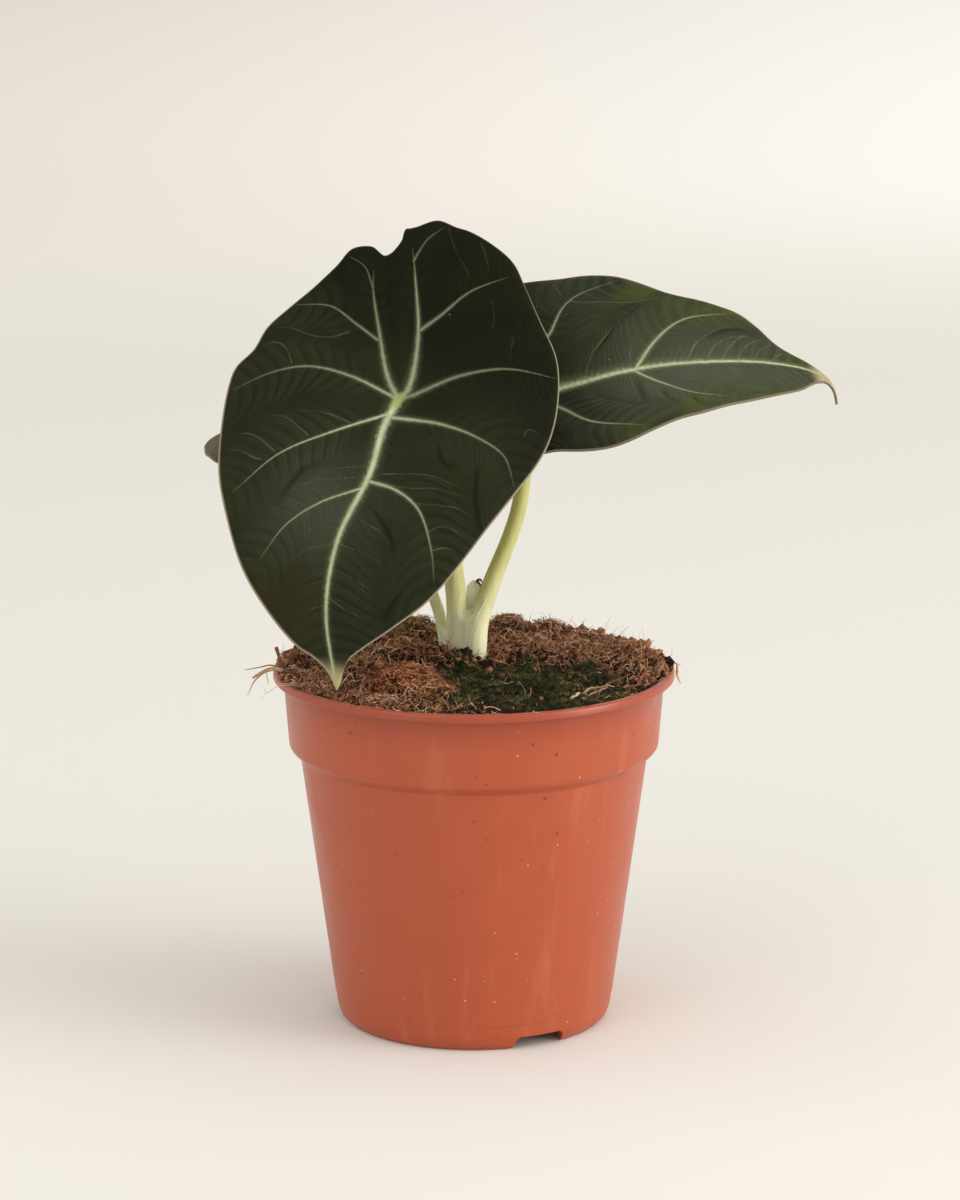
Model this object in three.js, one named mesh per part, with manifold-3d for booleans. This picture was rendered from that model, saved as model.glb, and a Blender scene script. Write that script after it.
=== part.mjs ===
// A potted black velvet alocasia: three heart-shaped leaves on pale stalks that rise from one
// crown, in peat and coir that fill a 12 cm nursery pot.
// Millimetres, +Z up. The origin is the centre of the pot's base, on the surface that it stands on.
import * as THREE from 'three';
import { mergeVertices } from 'three/addons/utils/BufferGeometryUtils.js';
import Module from 'manifold-3d';

const wasm = await Module();
wasm.setup();

const GAP = 0.3; // between pieces that touch
const DEGREE = Math.PI / 180;

// Pot
const POT_HEIGHT = 107.3;
const LIP_RADIUS = 60;
const WALL = 1.2;
const FOOT_RADIUS = 38.8; // outside, where it stands
const FLOOR_Z = 6.5; // top of the raised floor
const DISC_RADIUS = 15.5; // the middle of the floor, which is low and stands on the surface too
const DISC_SLOPE = 3.5; // across the slope between the disc and the raised floor
const BODY_FOOT_RADIUS = 41.6; // outside, level with the floor
const BODY_TOP_RADIUS = 52;
const BODY_TOP_Z = 81.3;
const COLLAR_FOOT_RADIUS = 55.3;
const COLLAR_FOOT_Z = 84.6;
const COLLAR_TOP_RADIUS = 56.9;
const LIP_Z = 104.6; // underside of the lip
const POT_SIDES = 48;
const NOTCH_WIDTH = 19;
const NOTCH_HEIGHT = 4;
const NOTCH_SLANT = 1.2; // its sides lean in by this
const NOTCH_ROUND = 0.7; // its upper corners are cut by this
const NOTCH_CUT_DEPTH = 14; // the notch cuts inwards through the foot ring
const NOTCH_COUNT = 3;
const FIRST_NOTCH = -61 * DEGREE; // to the right of the front
const DRAIN_RADIUS = 3.5;
const DRAIN_RING = 27;
const DRAIN_COUNT = 6;

// Soil
const SIDE_GAP = 0.35; // between the soil and the pot's wall
const SOIL_RADIUS = 56.9; // at the top, where the lip flares
const SOIL_SHOULDER_Z = LIP_Z - 0.3; // where it widens below the lip
const SOIL_EDGE_Z = 106.8; // at the pot's lip
const SOIL_CROWN_Z = 108; // inside, before the lumps
const SOIL_SIDES = 48;
const SOIL_RINGS = 12;
// lumps of peat: x, y, reach and height
const SOIL_LUMPS = [
  [-34, 32, 13, 3],
  [-20, 38, 8, 4.5],
  [-9, 33, 7, 2],
  [34, 22, 11, 1],
  [-45, 2, 10, 2],
  [-22, 12, 9, 2.5],
  [-8, -3, 6, 2.5],
  [-4, -34, 12, 1.5],
  [20, -28, 14, 2],
  [38, -14, 10, 1.5],
  [-38, -30, 9, 1],
];
const CRUMB_COUNT = 70; // smaller lumps and hollows, spread by chance
const CRUMB_REACH = 4.5;
const CRUMB_HEIGHT = 1.5;

// Crown and stalks
const CROWN_PLACE = [-4, 10.2];
const CROWN_WIDTH = 11.5; // half, across the front
const CROWN_DEPTH = 8.7; // half, front to back
const CROWN_FOOT_Z = 82;
const CROWN_TOP_Z = 108.5;
const STALK_FOOT_Z = 98; // how far down the stalks reach into the crown
const STALK_SIDES = 10;
const STALK_STEPS = 18;

// the sheath of an old leaf, a thin flat blade that stands up behind the front and right stalks
const SHEATH_PLACE = [0.2, 13.7];
const SHEATH_FOOT_Z = 102;
const SHEATH_TOP_Z = 131;
const SHEATH_HALF_WIDTHS = [2.2, 2.5, 2.6, 2.3];
const SHEATH_THICKNESS = 0.8;

// Blades
const BLADE_THICKNESS = 0.8;
const QUILT = 1.3; // how far the blade puffs up between its main veins
const QUILT_REACH = 5;
const MIDRIB_EASE = 4;
const VEIN_STEPS = 14; // straight pieces in a main vein

// Leaves. A blade lies in its own frame, with its stalk joined at the middle: u runs to one side,
// v towards the tip, and its normal out of the upper face. It bends along v by the angles in droop,
// folds up from the midrib by fold, and its sides sag by sag. The first vein is the midrib.
const LEAVES = {
  front: {
    attach: [-22, -11, 190.4],
    heading: -112,
    drop: 60,
    bank: -19,
    droop: [[-60, -14], [-25, -6], [0, 0], [40, 2], [75, 8], [95, 20]],
    fold: 0.16,
    sag: 0.0036,
    wave: [0.7, 7, 0.4],
    sectors: 84,
    rings: 12,
    outline: [
      [-1.2, 88.4], [-0.6, 83.8], [0.4, 79.4], [3.6, 75.8], [11.2, 68.4], [20.5, 57.7], [33.2, 32.9],
      [39.3, 21.1], [44.2, 9.5], [46, 0.3], [45.5, -11.9], [42.9, -21.5], [36, -32.5], [29.2, -43.2],
      [24.8, -49.3], [17.9, -53.8], [10.3, -57.3], [6.2, -58.3], [0.1, -60.1], [-5.7, -55.9],
      [-8.3, -54.8], [-8.8, -50.6], [-11.5, -45.3], [-13.8, -44.9], [-17.2, -46.5], [-22.5, -44.4],
      [-26, -37.7], [-31.1, -30.1], [-36.6, -23.3], [-42.2, -15.3], [-44.8, -7.3], [-48.9, -1],
      [-49.9, 4.8], [-49.4, 18.8], [-47.4, 31.5], [-43.3, 42.6], [-35, 58.6], [-25, 69.9],
      [-14.7, 78.2], [-9.7, 80.3], [-5.3, 83.2], [-2.6, 86.4],
    ],
    veins: [
      [[0, 0], [-2.6, 8.9], [-3.9, 23.7], [-9.3, 45], [-8.6, 66.2], [-1.7, 87.1]],
      [[0, 0], [-4.3, -5.8], [-9.9, -20.2], [-15.3, -36.5], [-16.2, -45.2]],
      [[-9.5, -16.7], [-17.1, -20.6], [-25.1, -24.5], [-35.9, -23.4]],
      [[0, 0], [2.1, -3.3], [2, -19.5], [-2.9, -39.9], [-5.9, -52]],
      [[2.2, -22.5], [7.2, -28.2], [14.2, -37.1], [24.3, -44.1]],
      [[0, 0], [-14.9, -4.1], [-27.7, -4.8], [-37.8, -1.3], [-48.4, 5.8]],
      [[0, 0], [3.9, -2], [16.1, -10], [29.5, -14.8], [44, -15]],
      [[-2.5, 5.1], [-16.9, 13.4], [-31.3, 23.2], [-42, 36.9]],
      [[-1, 5.8], [13.7, 5.5], [24.8, 7.5], [33.6, 11.6], [38.2, 20.1]],
      [[-7.4, 28.8], [-16.7, 35.3], [-25.1, 43.9], [-30.5, 55.4]],
      [[-3.4, 26.1], [4.1, 27.3], [12, 32], [18.1, 43.4], [20.8, 53.1]],
    ],
    stalk: [[-5.2, 11.5, STALK_FOOT_Z], [-5.2, 11.5, 112], [-5.6, 9, 130], [-10, 4, 155], [-19.5, -2, 178]],
    stalkRadii: [3, 3.05, 3.1, 2.7, 2.4, 2.2, 2.1],
    colour: 'blade',
  },
  right: {
    attach: [16, 20, 185],
    heading: 10,
    drop: 0,
    bank: 24,
    droop: [[-60, 0], [0, -17], [22, -17], [45, -4], [65, 3], [84, 16], [92, 34], [99, 66], [108, 85]],
    fold: 0.27,
    sag: 0.0032,
    wave: [0.9, 8, 1],
    sectors: 64,
    rings: 11,
    outline: [
      [0, 104], [1, 99], [1.6, 94], [4.4, 84], [8.1, 78.2], [15.4, 73.4], [22.5, 68.5], [28, 60.9],
      [33.6, 48], [43.5, 33.9], [49.8, 22.5], [53.4, 9.3], [52.5, -6], [47, -19], [37, -28],
      [25, -31], [13, -27], [5, -19], [0, -14], [-5, -18], [-12, -25], [-21, -27], [-29, -20],
      [-33.5, -8], [-36, 3], [-38.6, 11.6], [-39.4, 21.8], [-37.5, 31.9], [-32.9, 45.3],
      [-26.7, 57.4], [-22.4, 67], [-14.9, 80.5], [-6, 89], [-1.9, 94], [-1, 99],
    ],
    veins: [
      [[0, 0], [0, 30], [0, 60], [0, 85], [0, 103]],
      [[0, 0], [16, 5.5], [24, 12.1], [36.2, 20.4], [40, 36]],
      [[0.5, 33.7], [11, 41.7], [19.3, 51.8], [21.7, 67.2]],
      [[0, 0], [-11.2, 8.2], [-24.8, 16], [-35.3, 30.6]],
      [[-0.5, 33], [-9.9, 38.5], [-19.1, 46.9], [-23, 58]],
      [[0, 0], [13, -7], [30, -11], [45, -10]],
      [[0, 0], [7, -12], [18, -22], [27, -27]],
      [[0, 0], [-12, -6], [-24, -8], [-32, -6]],
      [[0, 0], [-7, -12], [-15, -20], [-21, -24]],
    ],
    stalk: [[0.6, 7.5, STALK_FOOT_Z], [0.6, 7.5, 112], [5, 9.8, 130], [13.2, 14, 152], [15.8, 18, 172]],
    stalkRadii: [3.3, 3.3, 2.8, 2.4, 2.3, 2.2, 2.1],
    colour: 'blade',
  },
  left: {
    attach: [-51, 24, 181],
    heading: 98,
    drop: 12,
    bank: -12,
    droop: [[-40, -95], [-18, -85], [-7, -45], [0, -12], [25, 12], [50, 34], [62, 50]],
    fold: 0.1,
    sag: 0.0085,
    wave: [0.8, 6, 2],
    sectors: 44,
    rings: 9,
    outline: [
      [0, 60], [1.6, 55], [5, 50], [14, 42], [23, 31], [29.5, 17], [31.4, 5], [31.5, -5],
      [29.5, -12.5], [23, -17], [15, -18.5], [6.5, -15.5], [0, -10], [-6.5, -15.5], [-15, -19.5],
      [-24, -17.5], [-30, -9], [-32, 3], [-30, 16], [-23, 31], [-14, 42], [-5, 50], [-1.6, 55],
    ],
    veins: [
      [[0, 0], [0, 30], [0, 59]],
      [[0, 0], [13, 4], [25, 14]],
      [[0, 20], [10, 27], [17, 37]],
      [[0, 0], [-13, 4], [-25, 14]],
      [[0, 20], [-10, 27], [-17, 37]],
      [[0, 0], [12, -3], [28, -5]],
      [[0, 0], [7, -8], [16, -16]],
      [[0, 0], [-12, -3], [-28, -5]],
      [[0, 0], [-7, -8], [-15, -16]],
    ],
    stalk: [[-8.9, 15.4, STALK_FOOT_Z], [-9, 15.4, 112], [-12.4, 15.4, 126], [-27, 18, 150], [-42, 22, 167]],
    stalkRadii: [1.7, 1.8, 1.7, 1.5, 1.4, 1.3],
    colour: 'youngBlade',
  },
};

// Coir: loose tufts of fibre that lie on the soil. Each is an uneven clod with curved strands
// wrapped over it: place, half sizes, number of strands, their length and their main direction
const TUFTS = {
  coir_tuft_front: {
    place: [-21, -33, 109],
    size: [12, 9, 5],
    strands: 14,
    length: 11,
    lean: [0, -0.2, 0.1],
  },
  coir_tuft_left: {
    place: [-51, -17, 108.5],
    size: [6.5, 9, 3.6],
    strands: 12,
    length: 11,
    lean: [-0.8, -0.2, 0.1],
  },
  coir_tuft_back: {
    place: [9.5, 43, 110.2],
    size: [5.6, 4.5, 3.4],
    strands: 8,
    length: 7,
    lean: [-0.8, 0, 0],
  },
  coir_tuft_right: {
    place: [23, 38, 109.2],
    size: [5.6, 5.5, 3.9],
    strands: 8,
    length: 6,
    lean: [1, 0, 0.1],
  },
};
const FIRST_TUFT_SEED = 11;
const STRAND_RADII = [0.45, 0.3];

const colours = {
  pot: ['#b4573a', 0.42],
  peat: ['#3b2a1e', 0.95],
  coir: ['#9a5a36', 0.95],
  sheath: ['#d2d8b0', 0.55],
  stalk: ['#b9b86a', 0.5],
  blade: ['#232b1d', 0.6],
  youngBlade: ['#3d4a2c', 0.6],
};

const plant = new THREE.Group();

function addPiece(name, geometry, colour) {
  const [hex, roughness] = colours[colour];
  const material = new THREE.MeshStandardMaterial({ color: hex, roughness, metalness: 0 });
  const mesh = new THREE.Mesh(geometry, material);
  mesh.name = name;
  plant.add(mesh);
}

// Solids for the joins and cuts
function toSolid(geometry) {
  const bare = geometry.clone();
  bare.deleteAttribute('normal');
  bare.deleteAttribute('uv');
  const merged = mergeVertices(bare, 1e-5);
  return new wasm.Manifold(
    new wasm.Mesh({
      numProp: 3,
      vertProperties: new Float32Array(merged.attributes.position.array),
      triVerts: new Uint32Array(merged.index.array),
    }),
  );
}

function fromSolid(solid) {
  const mesh = solid.getMesh();
  const geometry = new THREE.BufferGeometry();
  geometry.setAttribute('position', new THREE.BufferAttribute(mesh.vertProperties, 3));
  geometry.setIndex(new THREE.BufferAttribute(mesh.triVerts, 1));
  geometry.computeVertexNormals();
  return geometry;
}

// the largest of the bodies that a cut leaves, without its loose scraps
function largestBody(solid) {
  const bodies = solid.decompose();
  bodies.sort((a, b) => b.volume() - a.volume());
  return bodies[0];
}

function closedMesh(points, faces) {
  const geometry = new THREE.BufferGeometry();
  geometry.setAttribute('position', new THREE.Float32BufferAttribute(points.flat(), 3));
  geometry.setIndex(faces.flat());
  geometry.computeVertexNormals();
  return geometry;
}

// a closed profile of [radius, z] pairs, counter-clockwise, turned about +Z
function turned(profile, sides) {
  const outline = profile.map(([radius, z]) => new THREE.Vector2(radius, z));
  outline.push(outline[0].clone());
  const geometry = new THREE.LatheGeometry(outline, sides);
  geometry.rotateX(Math.PI / 2);
  return geometry;
}

function seededRandom(seed) {
  let state = seed;
  return () => {
    state = (state * 1664525 + 1013904223) % 4294967296;
    return state / 4294967296;
  };
}

// a round stem of varying radius along a smooth path, closed at both ends
function stem(path, radii, sides, steps) {
  const curve = new THREE.CatmullRomCurve3(path.map((p) => new THREE.Vector3(...p)), false, 'centripetal');
  const frames = curve.computeFrenetFrames(steps, false);
  const points = [];
  const faces = [];
  for (let step = 0; step <= steps; step += 1) {
    const along = step / steps;
    const place = along * (radii.length - 1);
    const first = Math.min(Math.floor(place), radii.length - 2);
    const radius = THREE.MathUtils.lerp(radii[first], radii[first + 1], place - first);
    const centre = curve.getPointAt(along);
    for (let side = 0; side < sides; side += 1) {
      const angle = (2 * Math.PI * side) / sides;
      const point = centre
        .clone()
        .addScaledVector(frames.normals[step], radius * Math.cos(angle))
        .addScaledVector(frames.binormals[step], radius * Math.sin(angle));
      points.push(point.toArray());
      if (step < steps) {
        const a = step * sides + side;
        const b = step * sides + ((side + 1) % sides);
        faces.push([a, b, b + sides], [a, b + sides, a + sides]);
      }
    }
  }
  const last = steps * sides;
  for (let side = 1; side < sides - 1; side += 1) {
    faces.push([0, side + 1, side], [last, last + side, last + side + 1]);
  }
  return closedMesh(points, faces);
}

// Pot: a thin wall with a foot ring, a stepped collar and a rolled lip, and a floor that is raised
// round a low disc. The inside of its wall and floor, from the lip down:
const POT_INSIDE = [
  [COLLAR_TOP_RADIUS - WALL, LIP_Z],
  [COLLAR_FOOT_RADIUS - WALL, COLLAR_FOOT_Z + 0.4],
  [BODY_TOP_RADIUS - WALL, BODY_TOP_Z + 0.4],
  [BODY_FOOT_RADIUS - WALL, FLOOR_Z + 1],
  [BODY_FOOT_RADIUS - WALL - 1, FLOOR_Z],
  [DISC_RADIUS + DISC_SLOPE, FLOOR_Z],
  [DISC_RADIUS, WALL],
];

function potProfile() {
  const floorUnder = FLOOR_Z - WALL;
  return [
    [0, 0],
    [DISC_RADIUS + WALL, 0],
    [DISC_RADIUS + DISC_SLOPE + WALL, floorUnder],
    [BODY_FOOT_RADIUS - WALL - 0.8, floorUnder],
    [FOOT_RADIUS - WALL, 0],
    [FOOT_RADIUS, 0],
    [FOOT_RADIUS + 1.6, 1.6],
    [FOOT_RADIUS + 2.4, 3.8],
    [BODY_FOOT_RADIUS, FLOOR_Z],
    [BODY_TOP_RADIUS, BODY_TOP_Z],
    [COLLAR_FOOT_RADIUS - 0.5, COLLAR_FOOT_Z - 0.9],
    [COLLAR_FOOT_RADIUS, COLLAR_FOOT_Z],
    [COLLAR_TOP_RADIUS, LIP_Z],
    [LIP_RADIUS - 0.3, LIP_Z + 0.1],
    [LIP_RADIUS, LIP_Z + 0.5],
    [LIP_RADIUS - 0.1, POT_HEIGHT - 0.4],
    [LIP_RADIUS - 0.5, POT_HEIGHT],
    [LIP_RADIUS - 2.3, POT_HEIGHT],
    ...POT_INSIDE,
    [0, WALL],
  ];
}

function notchCutter() {
  const half = NOTCH_WIDTH / 2;
  const rightSide = [
    [half, -1],
    [half, 0],
    [half - NOTCH_SLANT, NOTCH_HEIGHT - NOTCH_ROUND],
    [half - NOTCH_SLANT - NOTCH_ROUND, NOTCH_HEIGHT],
  ];
  const leftSide = rightSide.map(([x, z]) => [-x, z]).reverse();
  const shape = new THREE.Shape([...rightSide, ...leftSide].map((point) => new THREE.Vector2(...point)));
  const geometry = new THREE.ExtrudeGeometry(shape, { depth: NOTCH_CUT_DEPTH, bevelEnabled: false });
  geometry.rotateX(Math.PI / 2);
  geometry.rotateZ(Math.PI / 2);
  return geometry.translate(FOOT_RADIUS - NOTCH_CUT_DEPTH / 2, 0, 0);
}

function buildPot() {
  let pot = toSolid(turned(potProfile(), POT_SIDES));
  for (let notch = 0; notch < NOTCH_COUNT; notch += 1) {
    const cutter = notchCutter().rotateZ(FIRST_NOTCH + (2 * Math.PI * notch) / NOTCH_COUNT);
    pot = pot.subtract(toSolid(cutter));
  }
  for (let drain = 0; drain < DRAIN_COUNT; drain += 1) {
    const angle = (2 * Math.PI * drain) / DRAIN_COUNT;
    const cutter = new THREE.CylinderGeometry(DRAIN_RADIUS, DRAIN_RADIUS, 6, 12).rotateX(Math.PI / 2);
    cutter.translate(DRAIN_RING * Math.cos(angle), DRAIN_RING * Math.sin(angle), FLOOR_Z);
    pot = pot.subtract(toSolid(cutter));
  }
  return fromSolid(pot);
}

// Soil: fills the pot, with a lumpy top and a plain hole for the crown
function makeCrumbs() {
  const random = seededRandom(7);
  const crumbs = [];
  for (let crumb = 0; crumb < CRUMB_COUNT; crumb += 1) {
    const away = SOIL_RADIUS * Math.sqrt(random());
    const angle = 2 * Math.PI * random();
    const tall = CRUMB_HEIGHT * (2 * random() - 0.8);
    crumbs.push([away * Math.cos(angle), away * Math.sin(angle), CRUMB_REACH * (0.6 + random()), tall]);
  }
  return crumbs;
}

const crumbs = makeCrumbs();

function soilHeight(x, y) {
  const share = Math.min(Math.hypot(x, y) / SOIL_RADIUS, 1);
  const inside = 1 - share ** 6;
  let height = SOIL_EDGE_Z + (SOIL_CROWN_Z - SOIL_EDGE_Z) * inside;
  for (const [lumpX, lumpY, reach, tall] of [...SOIL_LUMPS, ...crumbs]) {
    const away = Math.hypot(x - lumpX, y - lumpY) / reach;
    height += tall * Math.exp(-away * away) * inside;
  }
  return height;
}

function soilPlug(lift) {
  const shoulder = [COLLAR_TOP_RADIUS - WALL - SIDE_GAP, SOIL_SHOULDER_Z];
  const lower = POT_INSIDE.slice(1).map(([radius, z]) => [radius - SIDE_GAP, z + GAP]);
  const sides = [shoulder, ...lower];
  const points = [[0, 0, soilHeight(0, 0) + lift]];
  const faces = [];
  const ring = (radius, heightAt) => {
    for (let side = 0; side < SOIL_SIDES; side += 1) {
      const angle = (2 * Math.PI * side) / SOIL_SIDES;
      const x = radius * Math.cos(angle);
      const y = radius * Math.sin(angle);
      points.push([x, y, heightAt(x, y)]);
    }
  };
  for (let step = 1; step <= SOIL_RINGS; step += 1) {
    ring((SOIL_RADIUS * step) / SOIL_RINGS, (x, y) => soilHeight(x, y) + lift);
  }
  for (const [radius, z] of sides) {
    ring(radius, () => z);
  }
  const ringCount = SOIL_RINGS + sides.length;
  const foot = points.push([0, 0, WALL + GAP]) - 1;
  for (let side = 0; side < SOIL_SIDES; side += 1) {
    const next = (side + 1) % SOIL_SIDES;
    faces.push([0, 1 + side, 1 + next]);
    for (let step = 0; step < ringCount - 1; step += 1) {
      const upper = 1 + step * SOIL_SIDES;
      const lower = upper + SOIL_SIDES;
      faces.push([upper + side, lower + side, lower + next], [upper + side, lower + next, upper + next]);
    }
    const last = 1 + (ringCount - 1) * SOIL_SIDES;
    faces.push([foot, last + next, last + side]);
  }
  return closedMesh(points, faces);
}

// Crown: the short thick stem that the stalks sheathe, oval and mostly in the soil
function crownBody(grow, topZ) {
  const profile = [
    [0, CROWN_FOOT_Z - grow],
    [0.55, CROWN_FOOT_Z - grow],
    [0.85, CROWN_FOOT_Z + 6],
    [1, CROWN_FOOT_Z + 15],
    [1, topZ - 2],
    [0.85, topZ],
    [0, topZ],
  ];
  const geometry = turned(profile, 20);
  geometry.scale(CROWN_WIDTH + grow, CROWN_DEPTH + grow, 1);
  return geometry.translate(...CROWN_PLACE, 0);
}

// Blades: where a point of the blade lies, by its place on the bent midrib line and its height
function bladeFrame(leaf) {
  const heading = leaf.heading * DEGREE;
  const drop = leaf.drop * DEGREE;
  const bank = leaf.bank * DEGREE;
  const ahead = new THREE.Vector3(
    Math.cos(drop) * Math.cos(heading),
    Math.cos(drop) * Math.sin(heading),
    -Math.sin(drop),
  );
  const level = new THREE.Vector3(-Math.sin(heading), Math.cos(heading), 0);
  const upright = new THREE.Vector3().crossVectors(ahead, level);
  const side = level.clone().multiplyScalar(Math.cos(bank)).addScaledVector(upright, Math.sin(bank));
  const face = new THREE.Vector3().crossVectors(ahead, side);
  return { ahead, side, face, origin: new THREE.Vector3(...leaf.attach) };
}

function bendAt(leaf, v) {
  const bends = leaf.droop;
  let index = 0;
  while (index < bends.length - 2 && v > bends[index + 1][0]) {
    index += 1;
  }
  const [fromV, fromAngle] = bends[index];
  const [toV, toAngle] = bends[index + 1];
  const share = THREE.MathUtils.clamp((v - fromV) / (toV - fromV), 0, 1);
  return THREE.MathUtils.lerp(fromAngle, toAngle, share) * DEGREE;
}

// how far along and down the bent midrib line v reaches
function midribPoint(leaf, v) {
  const steps = Math.max(Math.ceil(Math.abs(v) * 2), 1);
  const step = v / steps;
  let along = 0;
  let up = 0;
  for (let index = 0; index < steps; index += 1) {
    const angle = bendAt(leaf, (index + 0.5) * step);
    along += Math.cos(angle) * step;
    up -= Math.sin(angle) * step;
  }
  return [along, up];
}

function placeOnBlade(leaf, frame, u, v, height) {
  const [along, up] = midribPoint(leaf, v);
  const angle = bendAt(leaf, v);
  return frame.origin
    .clone()
    .addScaledVector(frame.side, u)
    .addScaledVector(frame.ahead, along + height * Math.sin(angle))
    .addScaledVector(frame.face, up + height * Math.cos(angle));
}

function spline2d(points, count, closed) {
  const curve = new THREE.CatmullRomCurve3(
    points.map(([u, v]) => new THREE.Vector3(u, v, 0)),
    closed,
    'centripetal',
  );
  const samples = curve.getPoints(count).map((p) => [p.x, p.y]);
  return closed ? samples.slice(0, count) : samples;
}

function midribOffset(midrib, v) {
  for (let index = 0; index < midrib.length - 1; index += 1) {
    const [fromU, fromV] = midrib[index];
    const [toU, toV] = midrib[index + 1];
    if (v >= fromV && v <= toV) {
      return THREE.MathUtils.lerp(fromU, toU, (v - fromV) / (toV - fromV));
    }
  }
  return v < 0 ? 0 : midrib[midrib.length - 1][0];
}

function distanceToSegment(u, v, [u0, v0], [u1, v1]) {
  const du = u1 - u0;
  const dv = v1 - v0;
  const share = THREE.MathUtils.clamp(((u - u0) * du + (v - v0) * dv) / (du * du + dv * dv), 0, 1);
  return Math.hypot(u - u0 - share * du, v - v0 - share * dv);
}

function veinDistance(veins, u, v) {
  let nearest = Infinity;
  for (const vein of veins) {
    for (let index = 0; index < vein.length - 1; index += 1) {
      nearest = Math.min(nearest, distanceToSegment(u, v, vein[index], vein[index + 1]));
    }
  }
  return nearest;
}

function bladeHeight(leaf, veins, u, v, reach, turn) {
  const out = u - midribOffset(veins[0], v);
  const fold = leaf.fold * (Math.hypot(out, MIDRIB_EASE) - MIDRIB_EASE);
  const away = veinDistance(veins, u, v) / QUILT_REACH;
  const quilt = QUILT * (1 - Math.exp(-away * away)) * (1 - reach ** 4);
  const [amount, waves, phase] = leaf.wave;
  const wave = amount * Math.sin(waves * turn + phase) * reach ** 4;
  return fold - leaf.sag * out * out + quilt + wave;
}

function buildBlade(leaf) {
  const frame = bladeFrame(leaf);
  const rim = spline2d(leaf.outline, leaf.sectors, true);
  const veins = leaf.veins.map((vein) => spline2d(vein, VEIN_STEPS, false));
  const half = BLADE_THICKNESS / 2;
  const points = [];
  for (const offset of [half, -half]) {
    points.push(placeOnBlade(leaf, frame, 0, 0, offset).toArray());
    for (let ring = 1; ring <= leaf.rings; ring += 1) {
      const reach = ring / leaf.rings;
      for (const [rimU, rimV] of rim) {
        const height = bladeHeight(leaf, veins, rimU * reach, rimV * reach, reach, Math.atan2(rimU, rimV));
        points.push(placeOnBlade(leaf, frame, rimU * reach, rimV * reach, height + offset).toArray());
      }
    }
  }
  return closedMesh(points, bladeFaces(rim.length, leaf.rings));
}

// both faces are split into triangles alike, and a strip closes the margin
function bladeFaces(sectors, rings) {
  const faces = [];
  const under = 1 + sectors * rings;
  for (let sector = 0; sector < sectors; sector += 1) {
    const next = (sector + 1) % sectors;
    faces.push([0, 1 + sector, 1 + next], [under, under + 1 + next, under + 1 + sector]);
    for (let ring = 0; ring < rings - 1; ring += 1) {
      const a = 1 + ring * sectors + sector;
      const b = 1 + ring * sectors + next;
      const c = b + sectors;
      const d = a + sectors;
      faces.push([a, c, b], [a, d, c]);
      faces.push([under + a, under + b, under + c], [under + a, under + c, under + d]);
    }
    const a = 1 + (rings - 1) * sectors + sector;
    const b = 1 + (rings - 1) * sectors + next;
    faces.push([a, under + b, b], [a, under + a, under + b]);
  }
  return faces;
}

// a stalk rises out of the crown and meets the blade's underside square on
function buildStalk(leaf) {
  const frame = bladeFrame(leaf);
  const seat = -(BLADE_THICKNESS / 2 + GAP + 0.1);
  const under = placeOnBlade(leaf, frame, 0, 0, seat - 4).toArray();
  const top = placeOnBlade(leaf, frame, 0, 0, seat).toArray();
  return stem([...leaf.stalk, under, top], leaf.stalkRadii, STALK_SIDES, STALK_STEPS);
}

function socket(leaf) {
  const radius = Math.max(...leaf.stalkRadii) + GAP + 0.1;
  const [foot, mouth] = leaf.stalk;
  const below = [foot[0], foot[1], foot[2] - GAP];
  const above = [mouth[0], mouth[1], mouth[2] + 1];
  return stem([below, above], [radius, radius], STALK_SIDES, 1);
}

// Leaf sheath: a stem that is flattened from front to back
function flatSheath(grow, footZ, topZ) {
  const halfWidths = SHEATH_HALF_WIDTHS.map((half) => half + grow);
  const geometry = stem([[0, 0, footZ], [0, 0, topZ]], halfWidths, 12, 6);
  geometry.scale(1, (SHEATH_THICKNESS / 2 + grow) / Math.max(...halfWidths), 1);
  geometry.computeVertexNormals();
  return geometry.translate(...SHEATH_PLACE, 0);
}

function buildCrown() {
  let crown = toSolid(crownBody(0, CROWN_TOP_Z));
  for (const leaf of Object.values(LEAVES)) {
    crown = crown.subtract(toSolid(socket(leaf)));
  }
  crown = crown.subtract(toSolid(flatSheath(GAP + 0.1, SHEATH_FOOT_Z - GAP, SHEATH_TOP_Z)));
  return fromSolid(largestBody(crown));
}

// Coir tufts
function clod(tuft) {
  const lump = new THREE.IcosahedronGeometry(1, 2);
  const points = lump.attributes.position;
  for (let index = 0; index < points.count; index += 1) {
    const point = new THREE.Vector3().fromBufferAttribute(points, index);
    const bump = Math.sin(4.1 * point.x + tuft.place[0]) * Math.cos(3.7 * point.y + tuft.place[1]);
    point.multiplyScalar(1 + 0.16 * bump + 0.1 * Math.sin(6 * point.z));
    points.setXYZ(index, point.x, point.y, point.z);
  }
  return lump.scale(...tuft.size).translate(...tuft.place);
}

function buildTuft(tuft, seed) {
  const random = seededRandom(seed);
  const spread = () => random() * 2 - 1;
  const size = new THREE.Vector3(...tuft.size);
  const place = new THREE.Vector3(...tuft.place);
  let body = toSolid(clod(tuft));
  for (let strand = 0; strand < tuft.strands; strand += 1) {
    const out = new THREE.Vector3(spread(), spread(), 0.3 + random()).normalize();
    const root = out.clone().multiply(size).multiplyScalar(0.75).add(place);
    const way = new THREE.Vector3(spread(), spread(), 0.4 * spread()).cross(out).normalize();
    way.add(new THREE.Vector3(...tuft.lean));
    way.z *= 0.35;
    way.normalize();
    const length = tuft.length * (0.6 + 0.7 * random());
    const middle = root.clone().addScaledVector(way, 0.5 * length).addScaledVector(out, 0.12 * length);
    const end = root.clone().addScaledVector(way, length);
    end.z -= 0.2 * length * random();
    const path = [root.toArray(), middle.toArray(), end.toArray()];
    body = body.add(toSolid(stem(path, STRAND_RADII, 3, 3)));
  }
  return body;
}

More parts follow.
